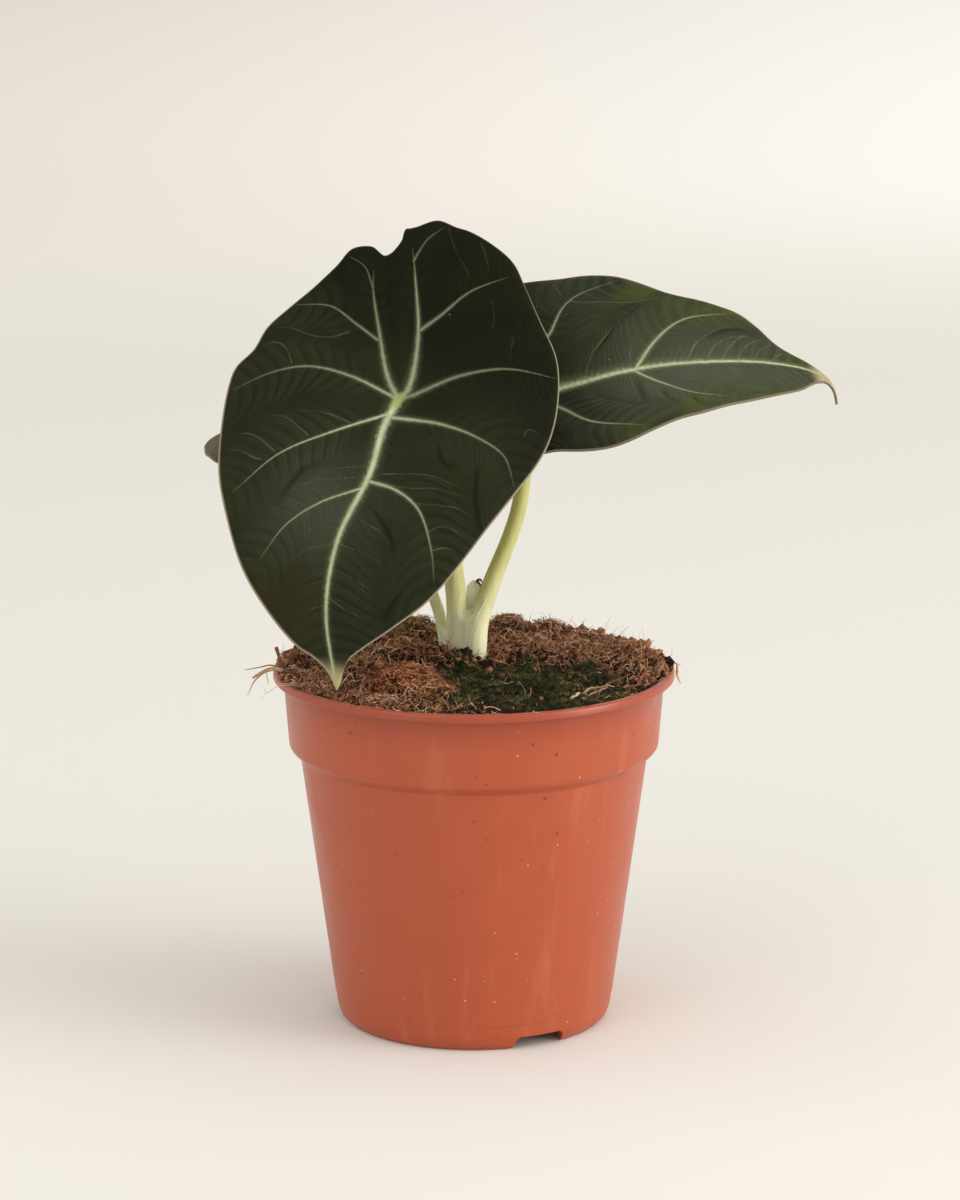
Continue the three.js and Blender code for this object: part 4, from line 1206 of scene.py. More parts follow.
def crown_mesh():
    """The oval crown, mostly in the peat."""
    shape = bmesh.new()
    bmesh.ops.create_uvsphere(shape, u_segments=48, v_segments=24, radius=1)
    half = (CROWN_TOP_Z - CROWN_FOOT_Z) / 2
    bmesh.ops.scale(shape, vec=(CROWN_WIDTH, CROWN_DEPTH, half), verts=shape.verts)
    bmesh.ops.translate(shape, vec=(*CROWN_PLACE, CROWN_FOOT_Z + half), verts=shape.verts)
    return to_mesh("stem_crown", shape)


def sheath_mesh():
    """The old sheath: a thin skin that stands behind the stalks, torn along its top."""
    mesh = grid_mesh("old_sheath", *SHEATH_CELLS, flipped=False)
    grid = points_of(mesh)
    across, up = grid[:, 0], (grid[:, 1] + 1) / 2
    half = np.interp(up, np.linspace(0, 1, len(SHEATH_HALF_WIDTHS)), SHEATH_HALF_WIDTHS)
    torn = (0.9 * smooth_noise(across, 0 * across, 0.35, 2.0) - 2.2 * across**2 - 0.6 * across) * up**8
    x = SHEATH_PLACE[0] + across * half
    y = SHEATH_PLACE[1] - 1.9 * smooth_step(up, 0.5, 0.8) + 0.2 * smooth_noise(across, up, 0.4, 5.0)
    z = SHEATH_FOOT_Z + up * (SHEATH_TOP_Z - SHEATH_FOOT_Z) + torn
    move_points(mesh, np.stack([x, y, z], axis=1) * MM)
    return mesh


# the dried tip of the sheath: curled strips as points and radii in millimetres
DRY_STRIPS = [
    ([(0.4, 13, 129.4), (1, 12.3, 131), (1.9, 11.9, 131.4), (2.6, 12.1, 130.2)], [0.3, 0.42, 0.35, 0.12]),
    ([(0.9, 12.9, 131), (1.9, 12.2, 129.6), (2.5, 11.9, 128.3), (2.3, 12, 127.4)], [0.22, 0.4, 0.3, 0.1]),
    ([(2.3, 12.8, 129.5), (2.4, 12.5, 127), (2, 12.7, 124.8)], [0.2, 0.28, 0.08]),
    ([(0.6, 12.8, 130.4), (-0.2, 12.2, 129.6), (-0.3, 12.1, 128.6)], [0.2, 0.22, 0.08]),
]


def dry_tip_mesh():
    """Small curled strips, each thin and ragged."""
    strips = []
    for points, radii in DRY_STRIPS:
        route = catmull_rom(points, 8) * MM
        strips.append(stem_mesh("strip", route, np.array(radii) * MM, 8, 24))
    return joined("dry_sheath_tip", *strips)


def joined(name, *meshes):
    """Several meshes as one."""
    shape = bmesh.new()
    for mesh in meshes:
        shape.from_mesh(mesh)
        bpy.data.meshes.remove(mesh)
    return to_mesh(name, shape)


crown_finish = stalk_skin("crown skin", (0.58, 0.60, 0.40), (0.62, 0.64, 0.44), 90, 108)
add_piece("stem_crown", crown_mesh(), [crown_finish], "pale_stem", "crown")
right_clasp = clasp_mesh(STALKS["front"], STALKS["right"], 127)
left_clasp = clasp_mesh(STALKS["left"], STALKS["front"], 121)
# painted light: the clasp's foot colour is paler than the stalks', to lift it where it sits in their shade
clasp_lightened_finish = stalk_skin("clasp", (0.93, 0.91, 0.58), YELLOW_TOP, *YELLOWING)
sheath_piece = add_piece(
    "old_sheath", joined("old_sheath", sheath_mesh(), right_clasp, left_clasp),
    [sheath_skin(), clasp_lightened_finish], "pale_stem", "leaf_sheath",
)
thicken(sheath_piece, SHEATH_THICKNESS)
add_piece("dry_sheath_tip", dry_tip_mesh(), [dry_skin()], "pale_stem")


# Pot
def rounded(points, radius, steps=3):
    """A closed outline whose corners are rounded."""
    points = [Vector(point) for point in points]
    made = []
    for index, corner in enumerate(points):
        before, after = points[index - 1], points[(index + 1) % len(points)]
        if corner.x < 1e-6:
            made.append(corner)
            continue
        reach = min(radius, 0.45 * (before - corner).length, 0.45 * (after - corner).length)
        start = corner + (before - corner).normalized() * reach
        end = corner + (after - corner).normalized() * reach
        for step in range(steps + 1):
            share = step / steps
            made.append(start * (1 - share) ** 2 + corner * 2 * share * (1 - share) + end * share**2)
    return made


def pot_outline():
    """The pot's closed profile of radius and height, from the middle of its underside round."""
    under = FLOOR_Z - WALL
    edge = 0.5 * MM
    return rounded([
        (0, 0),
        (DISC_RADIUS + WALL, 0),
        (DISC_RADIUS + DISC_SLOPE + WALL, under),
        (BODY_FOOT_RADIUS - WALL - 0.8 * MM, under),
        (FOOT_RADIUS - WALL, 0),
        (FOOT_RADIUS, 0),
        (FOOT_RADIUS + 1.6 * MM, 1.6 * MM),
        (FOOT_RADIUS + 2.4 * MM, 3.8 * MM),
        (BODY_FOOT_RADIUS, FLOOR_Z),
        (BODY_FOOT_RADIUS + 0.12 * MM, FLOOR_LINE_Z - 0.25 * MM),
        (BODY_FOOT_RADIUS + 0.34 * MM, FLOOR_LINE_Z),
        (BODY_TOP_RADIUS, BODY_TOP_Z),
        (COLLAR_FOOT_RADIUS - edge, COLLAR_FOOT_Z - 0.9 * MM),
        (COLLAR_FOOT_RADIUS, COLLAR_FOOT_Z),
        (COLLAR_TOP_RADIUS, LIP_Z),
        (LIP_RADIUS - 0.3 * MM, LIP_Z + 0.1 * MM),
        (LIP_RADIUS, LIP_Z + 0.5 * MM),
        (LIP_RADIUS - 0.1 * MM, POT_HEIGHT - 0.4 * MM),
        (LIP_RADIUS - 0.5 * MM, POT_HEIGHT),
        (LIP_RADIUS - 2.3 * MM, POT_HEIGHT),
        (COLLAR_TOP_RADIUS - WALL, LIP_Z),
        (COLLAR_FOOT_RADIUS - WALL, COLLAR_FOOT_Z + 0.4 * MM),
        (BODY_TOP_RADIUS - WALL, BODY_TOP_Z + 0.4 * MM),
        (BODY_FOOT_RADIUS - WALL, FLOOR_Z + 1 * MM),
        (BODY_FOOT_RADIUS - WALL - 1 * MM, FLOOR_Z),
        (DISC_RADIUS + DISC_SLOPE, FLOOR_Z),
        (DISC_RADIUS, WALL),
        (0, WALL),
    ], CORNER_ROUND)


def turned(name, outline, steps):
    """A closed outline of radius and height, spun about Z."""
    shape = bmesh.new()
    corners = [shape.verts.new((point.x, 0, point.y)) for point in outline]
    edges = [shape.edges.new((corners[index - 1], corner)) for index, corner in enumerate(corners)]
    axis_edge = [edge for edge in edges if all(corner.co.x < 1e-6 for corner in edge.verts)]
    bmesh.ops.delete(shape, geom=axis_edge, context="EDGES")
    bmesh.ops.spin(
        shape, geom=shape.verts[:] + shape.edges[:], axis=(0, 0, 1), cent=(0, 0, 0), dvec=(0, 0, 0),
        angle=2 * math.pi, steps=steps, use_merge=True, use_normal_flip=False, use_duplicate=False,
    )
    bmesh.ops.remove_doubles(shape, verts=shape.verts, dist=1e-6)
    bmesh.ops.recalc_face_normals(shape, faces=shape.faces)
    return to_mesh(name, shape)


def notch_shape():
    """A block with slanted, rounded upper corners that cuts one notch through the foot ring."""
    shape = bmesh.new()
    bmesh.ops.create_cube(shape, size=1)
    for corner in shape.verts:
        upper = corner.co.z > 0
        lean = NOTCH_LEAN if upper else 0
        corner.co.x *= 14 * MM
        corner.co.y = math.copysign(NOTCH_WIDTH / 2 - lean, corner.co.y)
        corner.co.z = NOTCH_HEIGHT if upper else -NOTCH_HEIGHT
    upper_edges = [
        edge for edge in shape.edges
        if all(end.co.z > 0 for end in edge.verts) and abs(edge.verts[0].co.y - edge.verts[1].co.y) < MM
    ]
    bmesh.ops.bevel(
        shape, geom=upper_edges, offset=1.3 * MM, affect="EDGES", segments=4, profile=0.5, material=-1,
    )
    return shape


def pot_cutters():
    """The notches under the pot and the drain holes in its floor, as one mesh."""
    shape = bmesh.new()
    for notch in range(NOTCH_COUNT):
        part = notch_shape()
        turn = Matrix.Rotation(FIRST_NOTCH + 2 * math.pi * notch / NOTCH_COUNT, 4, "Z")
        bmesh.ops.transform(part, matrix=turn @ Matrix.Translation((FOOT_RADIUS, 0, 0)), verts=part.verts)
        mesh = to_mesh("notch", part)
        shape.from_mesh(mesh)
        bpy.data.meshes.remove(mesh)
    for drain in range(DRAIN_COUNT):
        turn = Matrix.Rotation(2 * math.pi * drain / DRAIN_COUNT, 4, "Z")
        bmesh.ops.create_cone(
            shape, cap_ends=True, segments=28, radius1=DRAIN_RADIUS, radius2=DRAIN_RADIUS, depth=6 * MM,
            matrix=turn @ Matrix.Translation((DRAIN_RING, 0, FLOOR_Z)),
        )
    return to_mesh("cutters", shape)


def add_pot():
    """The pot, cut once and kept as a plain mesh."""
    mesh = turned("nursery_pot", pot_outline(), POT_STEPS)
    body = new_object("uncut pot", mesh)
    tool = new_object("cutters", pot_cutters())
    cut = body.modifiers.new("cut", "BOOLEAN")
    cut.operation = "DIFFERENCE"
    cut.solver = "EXACT"
    cut.object = tool
    view = bpy.context.evaluated_depsgraph_get()
    finished = bpy.data.meshes.new_from_object(body.evaluated_get(view))
    for item in (body, tool):
        bpy.data.objects.remove(item)
    finished.name = "nursery_pot"
    finished.set_sharp_from_angle(angle=38 * DEGREE)
    add_piece("nursery_pot", finished, [pot_plastic()], "pot_plastic", "pot")


add_pot()


# Peat
chance = np.random.default_rng(5)


def peat_map():
    """Heights of the peat over a square of places, with its lumps and hollows."""
    line = np.arange(-MAP_HALF, MAP_HALF + MAP_STEP / 2, MAP_STEP)
    x, y = np.meshgrid(line, line, indexing="ij")
    share = np.minimum(np.hypot(x, y) / PEAT_RADIUS, 1)
    inside = 1 - share**6
    height = PEAT_EDGE_Z + (PEAT_CROWN_Z - PEAT_EDGE_Z) * inside
    for lump_x, lump_y, reach, tall in PEAT_LUMPS:
        away = np.hypot(x - lump_x * MM, y - lump_y * MM) / (reach * MM)
        height += tall * MM * np.exp(-away * away) * inside
    rough = np.array([
        2 * noise.fractal(Vector((a * 130, b * 130, 1)), 1.0, 2.0, 3)
        + 0.75 * noise.fractal(Vector((a * 520, b * 520, 4)), 0.9, 2.1, 3)
        for a, b in zip(x.ravel(), y.ravel())
    ]).reshape(x.shape)
    return height + rough * MM * (1 - 0.5 * share**8)


peat_heights = peat_map()


def peat_height(x, y):
    """The peat's height at any places, between the places of the map."""
    across = np.clip((np.asarray(x) + MAP_HALF) / MAP_STEP, 0, len(peat_heights) - 1.001)
    back = np.clip((np.asarray(y) + MAP_HALF) / MAP_STEP, 0, len(peat_heights) - 1.001)
    i, j = across.astype(int), back.astype(int)
    s, t = across - i, back - j
    near = peat_heights[i, j] * (1 - s) + peat_heights[i + 1, j] * s
    far = peat_heights[i, j + 1] * (1 - s) + peat_heights[i + 1, j + 1] * s
    return near * (1 - t) + far * t


def peat_plug():
    """The lumpy top of the peat, with its sides drawn down inside the pot."""
    shape = bmesh.new()
    bmesh.ops.create_grid(shape, x_segments=PEAT_CELLS, y_segments=PEAT_CELLS, size=1)
    rim = [edge for edge in shape.edges if edge.is_boundary]
    levels = [
        (COLLAR_TOP_RADIUS, PEAT_SHOULDER_Z),
        (COLLAR_FOOT_RADIUS, COLLAR_FOOT_Z + MM),
        (BODY_TOP_RADIUS, BODY_TOP_Z + MM),
        (BODY_FOOT_RADIUS, PEAT_FOOT_Z),
    ]
    for level in range(1, len(levels) + 1):
        made = bmesh.ops.extrude_edge_only(shape, edges=rim)["geom"]
        rim = [item for item in made if isinstance(item, bmesh.types.BMEdge) and item.is_boundary]
        corners = {corner for edge in rim for corner in edge.verts}
        bmesh.ops.translate(shape, vec=(0, 0, -1), verts=list(corners))
    bmesh.ops.contextual_create(shape, geom=rim)
    bmesh.ops.recalc_face_normals(shape, faces=shape.faces)
    mesh = to_mesh("peat_plug", shape)
    points = points_of(mesh)
    x, y = disc_points(points)
    level = np.rint(-points[:, 2]).astype(int)
    radii = np.array([PEAT_RADIUS] + [radius - WALL - SIDE_GAP for radius, _ in levels])[level]
    x, y = x * radii, y * radii
    heights = np.array([0] + [z for _, z in levels])[level]
    z = np.where(level == 0, peat_height(x, y), heights)
    move_points(mesh, np.stack([x, y, z], axis=1))
    return mesh


def spread_places(count, radius=PEAT_RADIUS):
    """Places spread by chance over the pot's mouth."""
    away = radius * np.sqrt(chance.random(count))
    angle = 2 * math.pi * chance.random(count)
    return away * np.cos(angle), away * np.sin(angle)


def turns(count):
    """Rotation matrices by chance."""
    q = unit(chance.normal(size=(count, 4)))
    w, x, y, z = q.T
    return np.array([
        [1 - 2 * (y * y + z * z), 2 * (x * y - w * z), 2 * (x * z + w * y)],
        [2 * (x * y + w * z), 1 - 2 * (x * x + z * z), 2 * (y * z - w * x)],
        [2 * (x * z - w * y), 2 * (y * z + w * x), 1 - 2 * (x * x + y * y)],
    ]).transpose(2, 0, 1)


def crumbs(name, x, y, sizes, sink):
    """Small uneven lumps at these places on the peat, as one mesh, with painted light making those at the
    back paler.
    """
    shape = bmesh.new()
    bmesh.ops.create_icosphere(shape, subdivisions=1, radius=1)
    points = np.array([corner.co for corner in shape.verts])
    count = len(x)
    uneven = 1 + 0.45 * chance.normal(size=(count, len(points), 1))
    squash = 0.5 + 1.1 * chance.random((count, 1, 3))
    places = points * np.clip(uneven, 0.5, 1.6) * squash * sizes[:, None, None]
    places = places @ turns(count)
    places += np.stack([x, y, peat_height(x, y) + sizes * (1 - sink)], axis=1)[:, None]
    mesh = repeated(name, shape, places)
    # painted light: crumbs are paler towards the back, against the shade of the leaves over them
    paler = 0.5 * smooth_step(y, -8 * MM, 26 * MM)
    set_attribute(mesh, "tone", np.repeat(chance.random(count) + paler, len(points)))
    return mesh


def strands(name, roots, ways, lengths, radii, curl, steps=5, wrap=None):
    """Many thin curved strands as one mesh, none of which goes into the peat. wrap winds them round
    an oval lump, given as its middle, its half size and how far off it each may go."""
    count = len(roots)
    paths = np.zeros((count, steps + 1, 3))
    paths[:, 0] = roots
    way = unit(ways)
    drift = chance.normal(size=(count, 3)) * curl
    for step in range(1, steps + 1):
        drift = 0.6 * drift + chance.normal(size=(count, 3)) * curl * 0.6
        way = unit(way + drift)
        paths[:, step] = paths[:, step - 1] + way * (lengths / steps)[:, None]
    if wrap:
        middle, half, reach = wrap
        offset = (paths - middle) / half
        length = np.linalg.norm(offset, axis=2, keepdims=True)
        paths = middle + half * offset / length * np.clip(length, 0.9, reach[:, None, None])
    x, y, z = np.moveaxis(paths, 2, 0)
    ground = peat_height(x, y) + STRAND_GAP
    over_rim = np.maximum(ground, POT_HEIGHT + 0.2 * MM)
    floor = np.where(np.hypot(x, y) < PEAT_RADIUS + 1 * MM, ground, over_rim)
    paths[..., 2] = np.maximum(z, floor)
    taper = np.linspace(1, 0.45, steps + 1)
    shape = tube_shape(STRAND_SIDES, steps)
    places = bend_tubes(shape, paths, radii[:, None] * taper)
    mesh = repeated(name, shape, places)
    set_attribute(mesh, "tone", np.repeat(chance.random(count), places.shape[1]))
    return mesh


def in_moss(x, y):
    """How far inside the mossy part of the peat each place is: over 0 inside, 1 in the middle."""
    across, back = x - MOSS_PLACE[0], y - MOSS_PLACE[1]
    return 1 - np.hypot(across / MOSS_HALF[0], back / MOSS_HALF[1])


def add_peat():
    """The peat with crumbs on its top, and more of them banked up against the pot's wall."""
    plug = peat_plug()
    x, y = spread_places(PEAT_CRUMBS, PEAT_RADIUS - 1 * MM)
    kept = (in_moss(x, y) < 0.05) | (chance.random(len(x)) < 0.1)
    x, y = x[kept], y[kept]
    sizes = (0.24 + 0.75 * chance.random(len(x)) ** 3) * MM
    lumps = crumbs("peat crumbs", x, y, sizes, 0.6)
    angle = -0.25 + 3.65 * chance.random(BANKED_CRUMBS)
    away = PEAT_RADIUS + (1.6 - 4.2 * chance.random(BANKED_CRUMBS)) * MM
    sizes = (0.35 + 0.95 * chance.random(BANKED_CRUMBS) ** 1.8) * MM
    banked = crumbs("banked crumbs", away * np.cos(angle), away * np.sin(angle), sizes, 0.35)
    set_attribute(plug, "tone", np.full(len(plug.vertices), 0.1))
    mesh = joined("peat", plug, lumps, banked)
    add_piece("peat", mesh, [crumb_finish("peat", PEAT_TONES)], "peat", "soil")


add_peat()


# Loose coir on the peat
def add_scattered_coir():
    """Short fibres all over the peat, thickest where there is no moss."""
    x, y = spread_places(SHORT_FIBRES, PEAT_RADIUS + 0.6 * MM)
    kept = (in_moss(x, y) < 0) | (chance.random(len(x)) < 0.14)
    x, y = x[kept], y[kept]
    count = len(x)
    roots = np.stack([x, y, peat_height(x, y) + 0.2 * MM], axis=1)
    ways = chance.normal(size=(count, 3)) * (1, 1, 0.45)
    lengths = (1.6 + 6.5 * chance.random(count) ** 2.2) * MM
    radii = (0.06 + 0.12 * chance.random(count) ** 2) * MM
    mesh = strands("scattered_coir", roots, ways, lengths, radii, 0.5, steps=4)
    add_piece("scattered_coir", mesh, [crumb_finish("scattered coir", MIXED_TONES, 200)], "coir")


def tuft_core(middle, half):
    """A lumpy oval."""
    shape = bmesh.new()
    bmesh.ops.create_icosphere(shape, subdivisions=4, radius=1)
    core = to_mesh("core", shape)
    points = points_of(core)
    seed = Vector(middle) * 900
    bumps = np.array([noise.fractal(Vector(point * 3.4) + seed, 0.6, 2.1, 6) for point in points])
    move_points(core, middle + points * half * (0.7 + 0.5 * bumps[:, None]))
    set_attribute(core, "tone", 0.4 * bumps - 0.1)
    return core


def tuft(name, node, lumps, count, length, tones, radius=0.12):
    """A tangle of fibre: lumpy ovals (middle and half size) with strands wound round them."""
    parts = []
    share = np.array([half[0] * half[1] for _, half in lumps])
    for (middle, half), part in zip(lumps, share / share.sum()):
        middle, half = np.array(middle) * MM, np.array(half) * MM
        number = int(count * part)
        outward = unit(chance.normal(size=(number, 3)))
        outward[:, 2] = np.abs(outward[:, 2])
        roots = middle + outward * half * 0.95
        ways = unit(np.cross(outward, chance.normal(size=(number, 3)))) + 0.25 * outward
        lengths = length * MM * (0.3 + chance.random(number) ** 2)
        radii = radius * MM * (0.55 + 1.5 * chance.random(number) ** 4)
        reach = 0.95 + 0.45 * chance.random(number) ** 2 + 0.7 * chance.random(number) ** 12
        wound = (middle, half, reach)
        parts.append(strands(name, roots, ways, lengths, radii, 0.6, wrap=wound))
        parts.append(tuft_core(middle, half))
    add_piece(name, joined(name, *parts), [crumb_finish(name, tones, 260)], "coir", node)


add_scattered_coir()
tuft("front_coir", "coir_tuft_front", [
    ((-22, -31, 109.6), (9.5, 8, 5.6)), ((-12.5, -37, 108.4), (8, 6, 3.4)),
    ((-15, -26, 109.6), (5, 4, 2.6)),
], 1900, 6.5, RUST_TONES, 0.13)
tuft("left_coir", "coir_tuft_left", [
    ((-51.5, -17, 107.4), (5, 7, 2.2)), ((-54, -7, 107.2), (3, 6, 1.8)), ((-37, -31, 107.2), (8, 7, 2)),
    ((-46, -24, 107.2), (6, 7, 2)), ((-27, -43, 107.2), (7, 5, 1.6)),
], 1700, 6.5, PINK_TONES, 0.13)
tuft("back_coir", "coir_tuft_back", [
    ((10.5, 43, 111.6), (4.8, 3, 1.9)), ((15.5, 42, 109.6), (2.4, 2.4, 1.8)),
    ((6, 42, 109), (2.4, 2.2, 1.4)),
], 800, 4, PINK_TONES, 0.1)
tuft("right_coir", "coir_tuft_right", [
    ((23, 39, 109.4), (5.6, 4.6, 3.2)), ((33, 35, 107.8), (7, 5, 2)), ((17, 30, 108.4), (7, 5, 1.8)),
    ((42, 24, 107.6), (7, 6, 1.8)), ((30, 24, 108), (6, 5, 1.5)),
], 2000, 5.5, PINK_TONES, 0.13)
tuft("golden_coir", None, [
    ((-19, 38, 111), (7, 4.5, 3)), ((-10, 35, 109), (5, 4, 2.2)), ((-33, 36, 109.4), (7, 5, 2.4)),
    ((-26, 30, 109.4), (6, 5, 2)),
], 1500, 5.5, GOLD_TONES)


# Loose strands: how pale, radii from start to end, whether heights are above the peat, and points
LOOSE_STRANDS = [
    (0.3, [0.75, 0.6, 0.5, 0.6], False, [(-56.4, -8, 106), (-57.9, -8, 112.6), (-58.7, -8, 115.2)]),
    (0.5, [0.8, 0.7, 0.6, 0.3], False, [
        (-54, -12, 107.6), (-56.5, -12, 108.8), (-59.5, -12, 109.6), (-63.7, -12, 108),
        (-65.6, -12, 106.8),
    ]),
    (0.5, [0.3, 0.2, 0.08], False, [(-61.7, -12, 109), (-65, -12.5, 106), (-67.2, -12, 101.3)]),
    (0.4, [0.25, 0.22, 0.1], False, [
        (-54, -11, 108), (-60, -11.5, 110.6), (-63, -12, 110.2), (-68, -12, 109.2),
    ]),
    (0.6, [0.2, 0.1], False, [(-61.5, -12, 109.2), (-61.2, -13, 107), (-60.9, -13.5, 105.2)]),
    (0.95, [0.08, 0.06], False, [
        (-50, -23, 108), (-57.2, -25.2, 108), (-60.6, -25.2, 105.6), (-62, -25, 107.6),
    ]),
    (0.95, [0.07, 0.05], False, [
        (-51, -26, 108), (-57, -26.2, 107.8), (-61, -26, 105.6), (-62.5, -25.6, 103.6),
    ]),
    (0.6, [0.12, 0.14, 0.45, 0.1], False, [
        (55, 5, 108), (60.6, 5, 107.2), (61, 5, 103.5), (62.1, 5, 100.8),
    ]),
    (0.55, [0.5, 0.45, 0.3], True, [(28.2, -43.5, 0.5), (33.9, -33.8, 0.7), (39.7, -26.4, 0.6)]),
    (0.5, [0.3, 0.2], True, [(32, -38, 0.8), (37, -35, 1.3), (41, -30, 1)]),
    (0.05, [0.25, 0.35, 0.2], True, [(14.4, 5, 0.2), (16, 9, 1.2), (17.8, 13, 2.8)]),
    (0.8, [0.12, 0.1], True, [(-38.9, -30, 0.4), (-37.6, -30.4, 3), (-36, -30, 3.2), (-34.5, -30, 0.4)]),
    (0.8, [0.12, 0.1], True, [(-36.8, -30, 0.3), (-34.6, -31, 2.6), (-31.6, -30, 2.6), (-30.1, -30, 0.6)]),
    (1.0, [0.1, 0.12, 0.1], True, [(-24.4, -18, 0), (-24.2, -20, 4), (-25.2, -20, 8)]),
    (0.8, [0.1, 0.08], True, [(-20.5, -43, 0.3), (-18.6, -42, 3.4), (-15.9, -42, 0.3)]),
    (0.75, [0.22, 0.18], True, [(-31.6, 5.4, 0.4), (-27, 15, 1), (-22.3, 25, 0.8)]),
    (0.7, [0.22, 0.18], True, [(-22.3, 25, 0.8), (-20.5, 20, 1.4), (-18.6, 15.9, 0.4)]),
    (0.8, [0.1, 0.06], False, [(40, 42, 107), (40.6, 42.6, 110), (42, 43, 113)]),
    (0.8, [0.09, 0.06], False, [(51, 28, 107), (51.6, 29, 110), (51, 30, 112.5)]),
]


def add_loose_strands():
    """Single roots, straws and hairs that stand out from the rest."""
    parts = []
    for tone, radii, above_peat, points in LOOSE_STRANDS:
        route = catmull_rom(points, 10) * MM
        if above_peat:
            route[:, 2] += peat_height(route[:, 0], route[:, 1])
        strand = stem_mesh("strand", route, np.array(radii) * MM, 7, 26)
        set_attribute(strand, "tone", np.full(len(strand.vertices), tone * 1.4))
        parts.append(strand)
    mesh = joined("loose_strands", *parts)
    add_piece("loose_strands", mesh, [crumb_finish("strand skin", STRAND_TONES)], "coir")


def add_clod():
    """A dark clod of peat against the stalks' feet."""
    clod = tuft_core(np.array((-3.3, 3.5, 110.3)) * MM, np.array((3.3, 2.6, 2.4)) * MM)
    clod.name = "peat_clod"
    add_piece("peat_clod", clod, [crumb_finish("clod", CLOD_TONES)], "peat")


add_loose_strands()
add_clod()


# Moss
def sprig_shape(needles):
    """A tiny sprig: slim cones that lean out all round."""
    shape = bmesh.new()
    for needle in range(needles):
        turn = Matrix.Rotation(2.4 * needle, 4, "Z") @ Matrix.Rotation(0.35 + 0.12 * needle, 4, "X")
        bmesh.ops.create_cone(
            shape, cap_ends=True, segments=3, radius1=0.16, radius2=0.0, depth=1,
            matrix=turn @ Matrix.Translation((0, 0, 0.5)),
        )
    return shape


def add_moss():
    """Cushions of dark moss over the front and right of the peat."""
    x, y = spread_places(MOSS_SPRIGS, PEAT_RADIUS - 0.5 * MM)
    kept = in_moss(x, y) + 0.6 * smooth_noise(x * 90, y * 90, 1, 9) > 0
    x, y = x[kept], y[kept]
    shape = sprig_shape(5)
    points = np.array([corner.co for corner in shape.verts])
    count = len(x)
    sizes = (0.9 + 1.1 * chance.random(count)) * MM
    lean = chance.normal(size=(count, 2)) * 0.35
    angle = 2 * math.pi * chance.random(count)
    turned_x = points[:, 0] * np.cos(angle)[:, None] - points[:, 1] * np.sin(angle)[:, None]
    turned_y = points[:, 0] * np.sin(angle)[:, None] + points[:, 1] * np.cos(angle)[:, None]
    rise = np.broadcast_to(points[:, 2], turned_x.shape)
    places = np.stack([turned_x + lean[:, :1] * rise, turned_y + lean[:, 1:] * rise, rise], axis=2)
    places = places * sizes[:, None, None]
    places += np.stack([x, y, peat_height(x, y) - 0.25 * sizes], axis=1)[:, None]
    mesh = repeated("moss", shape, places)
    patches = smooth_noise(x * 130, y * 130, 1, 5)
    tone = 0.7 * chance.random(count) + 0.5 * patches + 0.15
    set_attribute(mesh, "tone", np.repeat(tone, len(points)))
    add_piece("moss", mesh, [crumb_finish("moss", MOSS_TONES, 120)], "peat")


add_moss()


# Stage
CAMERA_PLACE = (1.82 * MM, -1434 * MM, 451.9 * MM)
CAMERA_TILT = 12.735 * DEGREE  # downwards
CAMERA_LENS = 148.07
CAMERA_SENSOR = 36


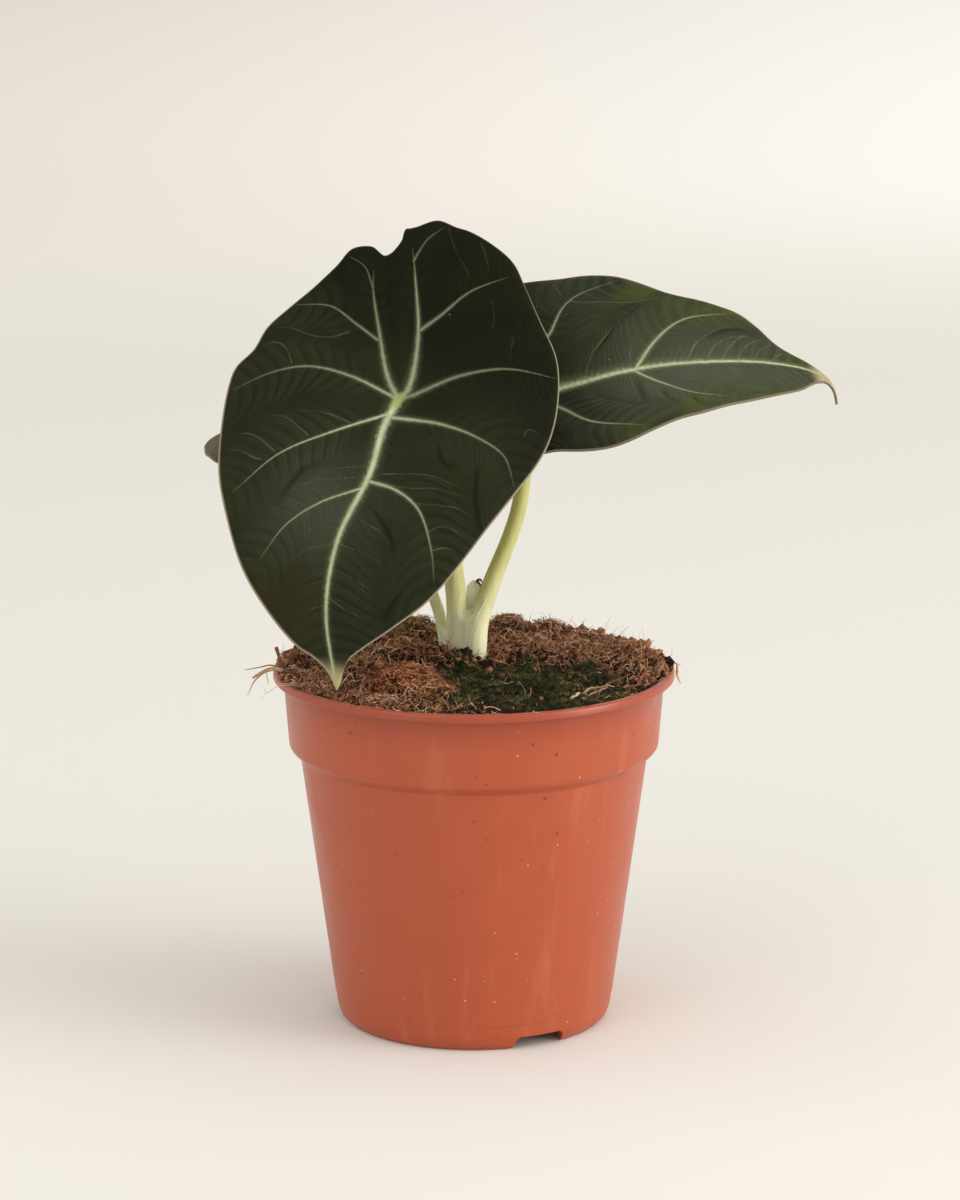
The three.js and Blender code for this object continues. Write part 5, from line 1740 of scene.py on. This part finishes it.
def add_stage():
    """A pale floor that sweeps up into a backdrop, with painted light and shade on the wall: paler to the
    right, where the lamps are, and darker higher up.
    """
    shape = bmesh.new()
    bmesh.ops.create_grid(shape, x_segments=1, y_segments=1, size=3)
    back = [edge for edge in shape.edges if all(corner.co.y > 0 for corner in edge.verts)]
    corners = {corner for edge in back for corner in edge.verts}
    bmesh.ops.translate(shape, vec=(0, -1.9, 0), verts=list(corners))
    bmesh.ops.spin(
        shape, geom=back, axis=(1, 0, 0), cent=(0, 1.1, 0.9), dvec=(0, 0, 0), angle=math.pi / 2, steps=24,
        use_merge=False, use_normal_flip=False, use_duplicate=False,
    )
    top = [edge for edge in shape.edges if all(corner.co.z > 0.89 for corner in edge.verts)]
    made = bmesh.ops.extrude_edge_only(shape, edges=top)["geom"]
    raised = [item for item in made if isinstance(item, bmesh.types.BMVert)]
    bmesh.ops.translate(shape, vec=(0, 0, 3), verts=raised)
    bmesh.ops.recalc_face_normals(shape, faces=shape.faces)
    mesh = to_mesh("backdrop", shape)
    backdrop = new_object("backdrop", mesh)
    shader = Finish("backdrop paper")
    place = shader.add("SeparateXYZ", [shader.place])
    # painted light and shade: the wall pales towards the lamps on the right and darkens higher up
    wall = shader.mix(place["X"].step(-0.45, 0.45), (0.765, 0.72, 0.67), (0.925, 0.91, 0.875))
    darker = shader.mix(1.0, wall, (0.875, 0.875, 0.88), "MULTIPLY")
    wall = shader.mix(place["Z"].step(0.06, 0.2), wall, darker)
    paper = shader.mix(place["Z"].step(0.0, 0.06), (0.79, 0.77, 0.72), wall)
    mesh.materials.append(shader.done(paper, 0.95, Specular_IOR_Level=0.1))


def add_light(name, place, size, power, colour, target=(0, 0, 0.12)):
    light = bpy.data.lights.new(name, "AREA")
    light.shape = "DISK"
    light.size = size
    light.energy = power
    light.color = colour
    lamp = new_object(name, light)
    lamp.location = place
    lamp.rotation_euler = (Vector(target) - Vector(place)).to_track_quat("-Z", "Y").to_euler()


def add_camera():
    camera = bpy.data.cameras.new("camera")
    camera.lens = CAMERA_LENS
    camera.sensor_width = CAMERA_SENSOR
    camera.clip_start = 0.05
    camera.clip_end = 50
    eye = new_object("camera", camera)
    eye.location = CAMERA_PLACE
    eye.rotation_euler = (math.pi / 2 - CAMERA_TILT, 0, 0)
    bpy.context.scene.camera = eye


def light_stage():
    world = bpy.data.worlds.new("studio")
    world.use_nodes = True
    world.node_tree.nodes["Background"].inputs[0].default_value = (1.0, 0.988, 0.962, 1)
    world.node_tree.nodes["Background"].inputs[1].default_value = 0.98
    bpy.context.scene.world = world
    bpy.context.scene.view_settings.view_transform = "Standard"
    add_light("key", (1.5, -0.52, 0.8), 1.4, 12, (1.0, 0.97, 0.93))
    add_light("side", (1.5, -0.58, 0.15), 0.7, 8.5, (1.0, 0.98, 0.95))
    add_light("fill", (-1.2, -1.6, 0.9), 1.4, 6, (1.0, 0.98, 0.96))


add_stage()
add_camera()
light_stage()
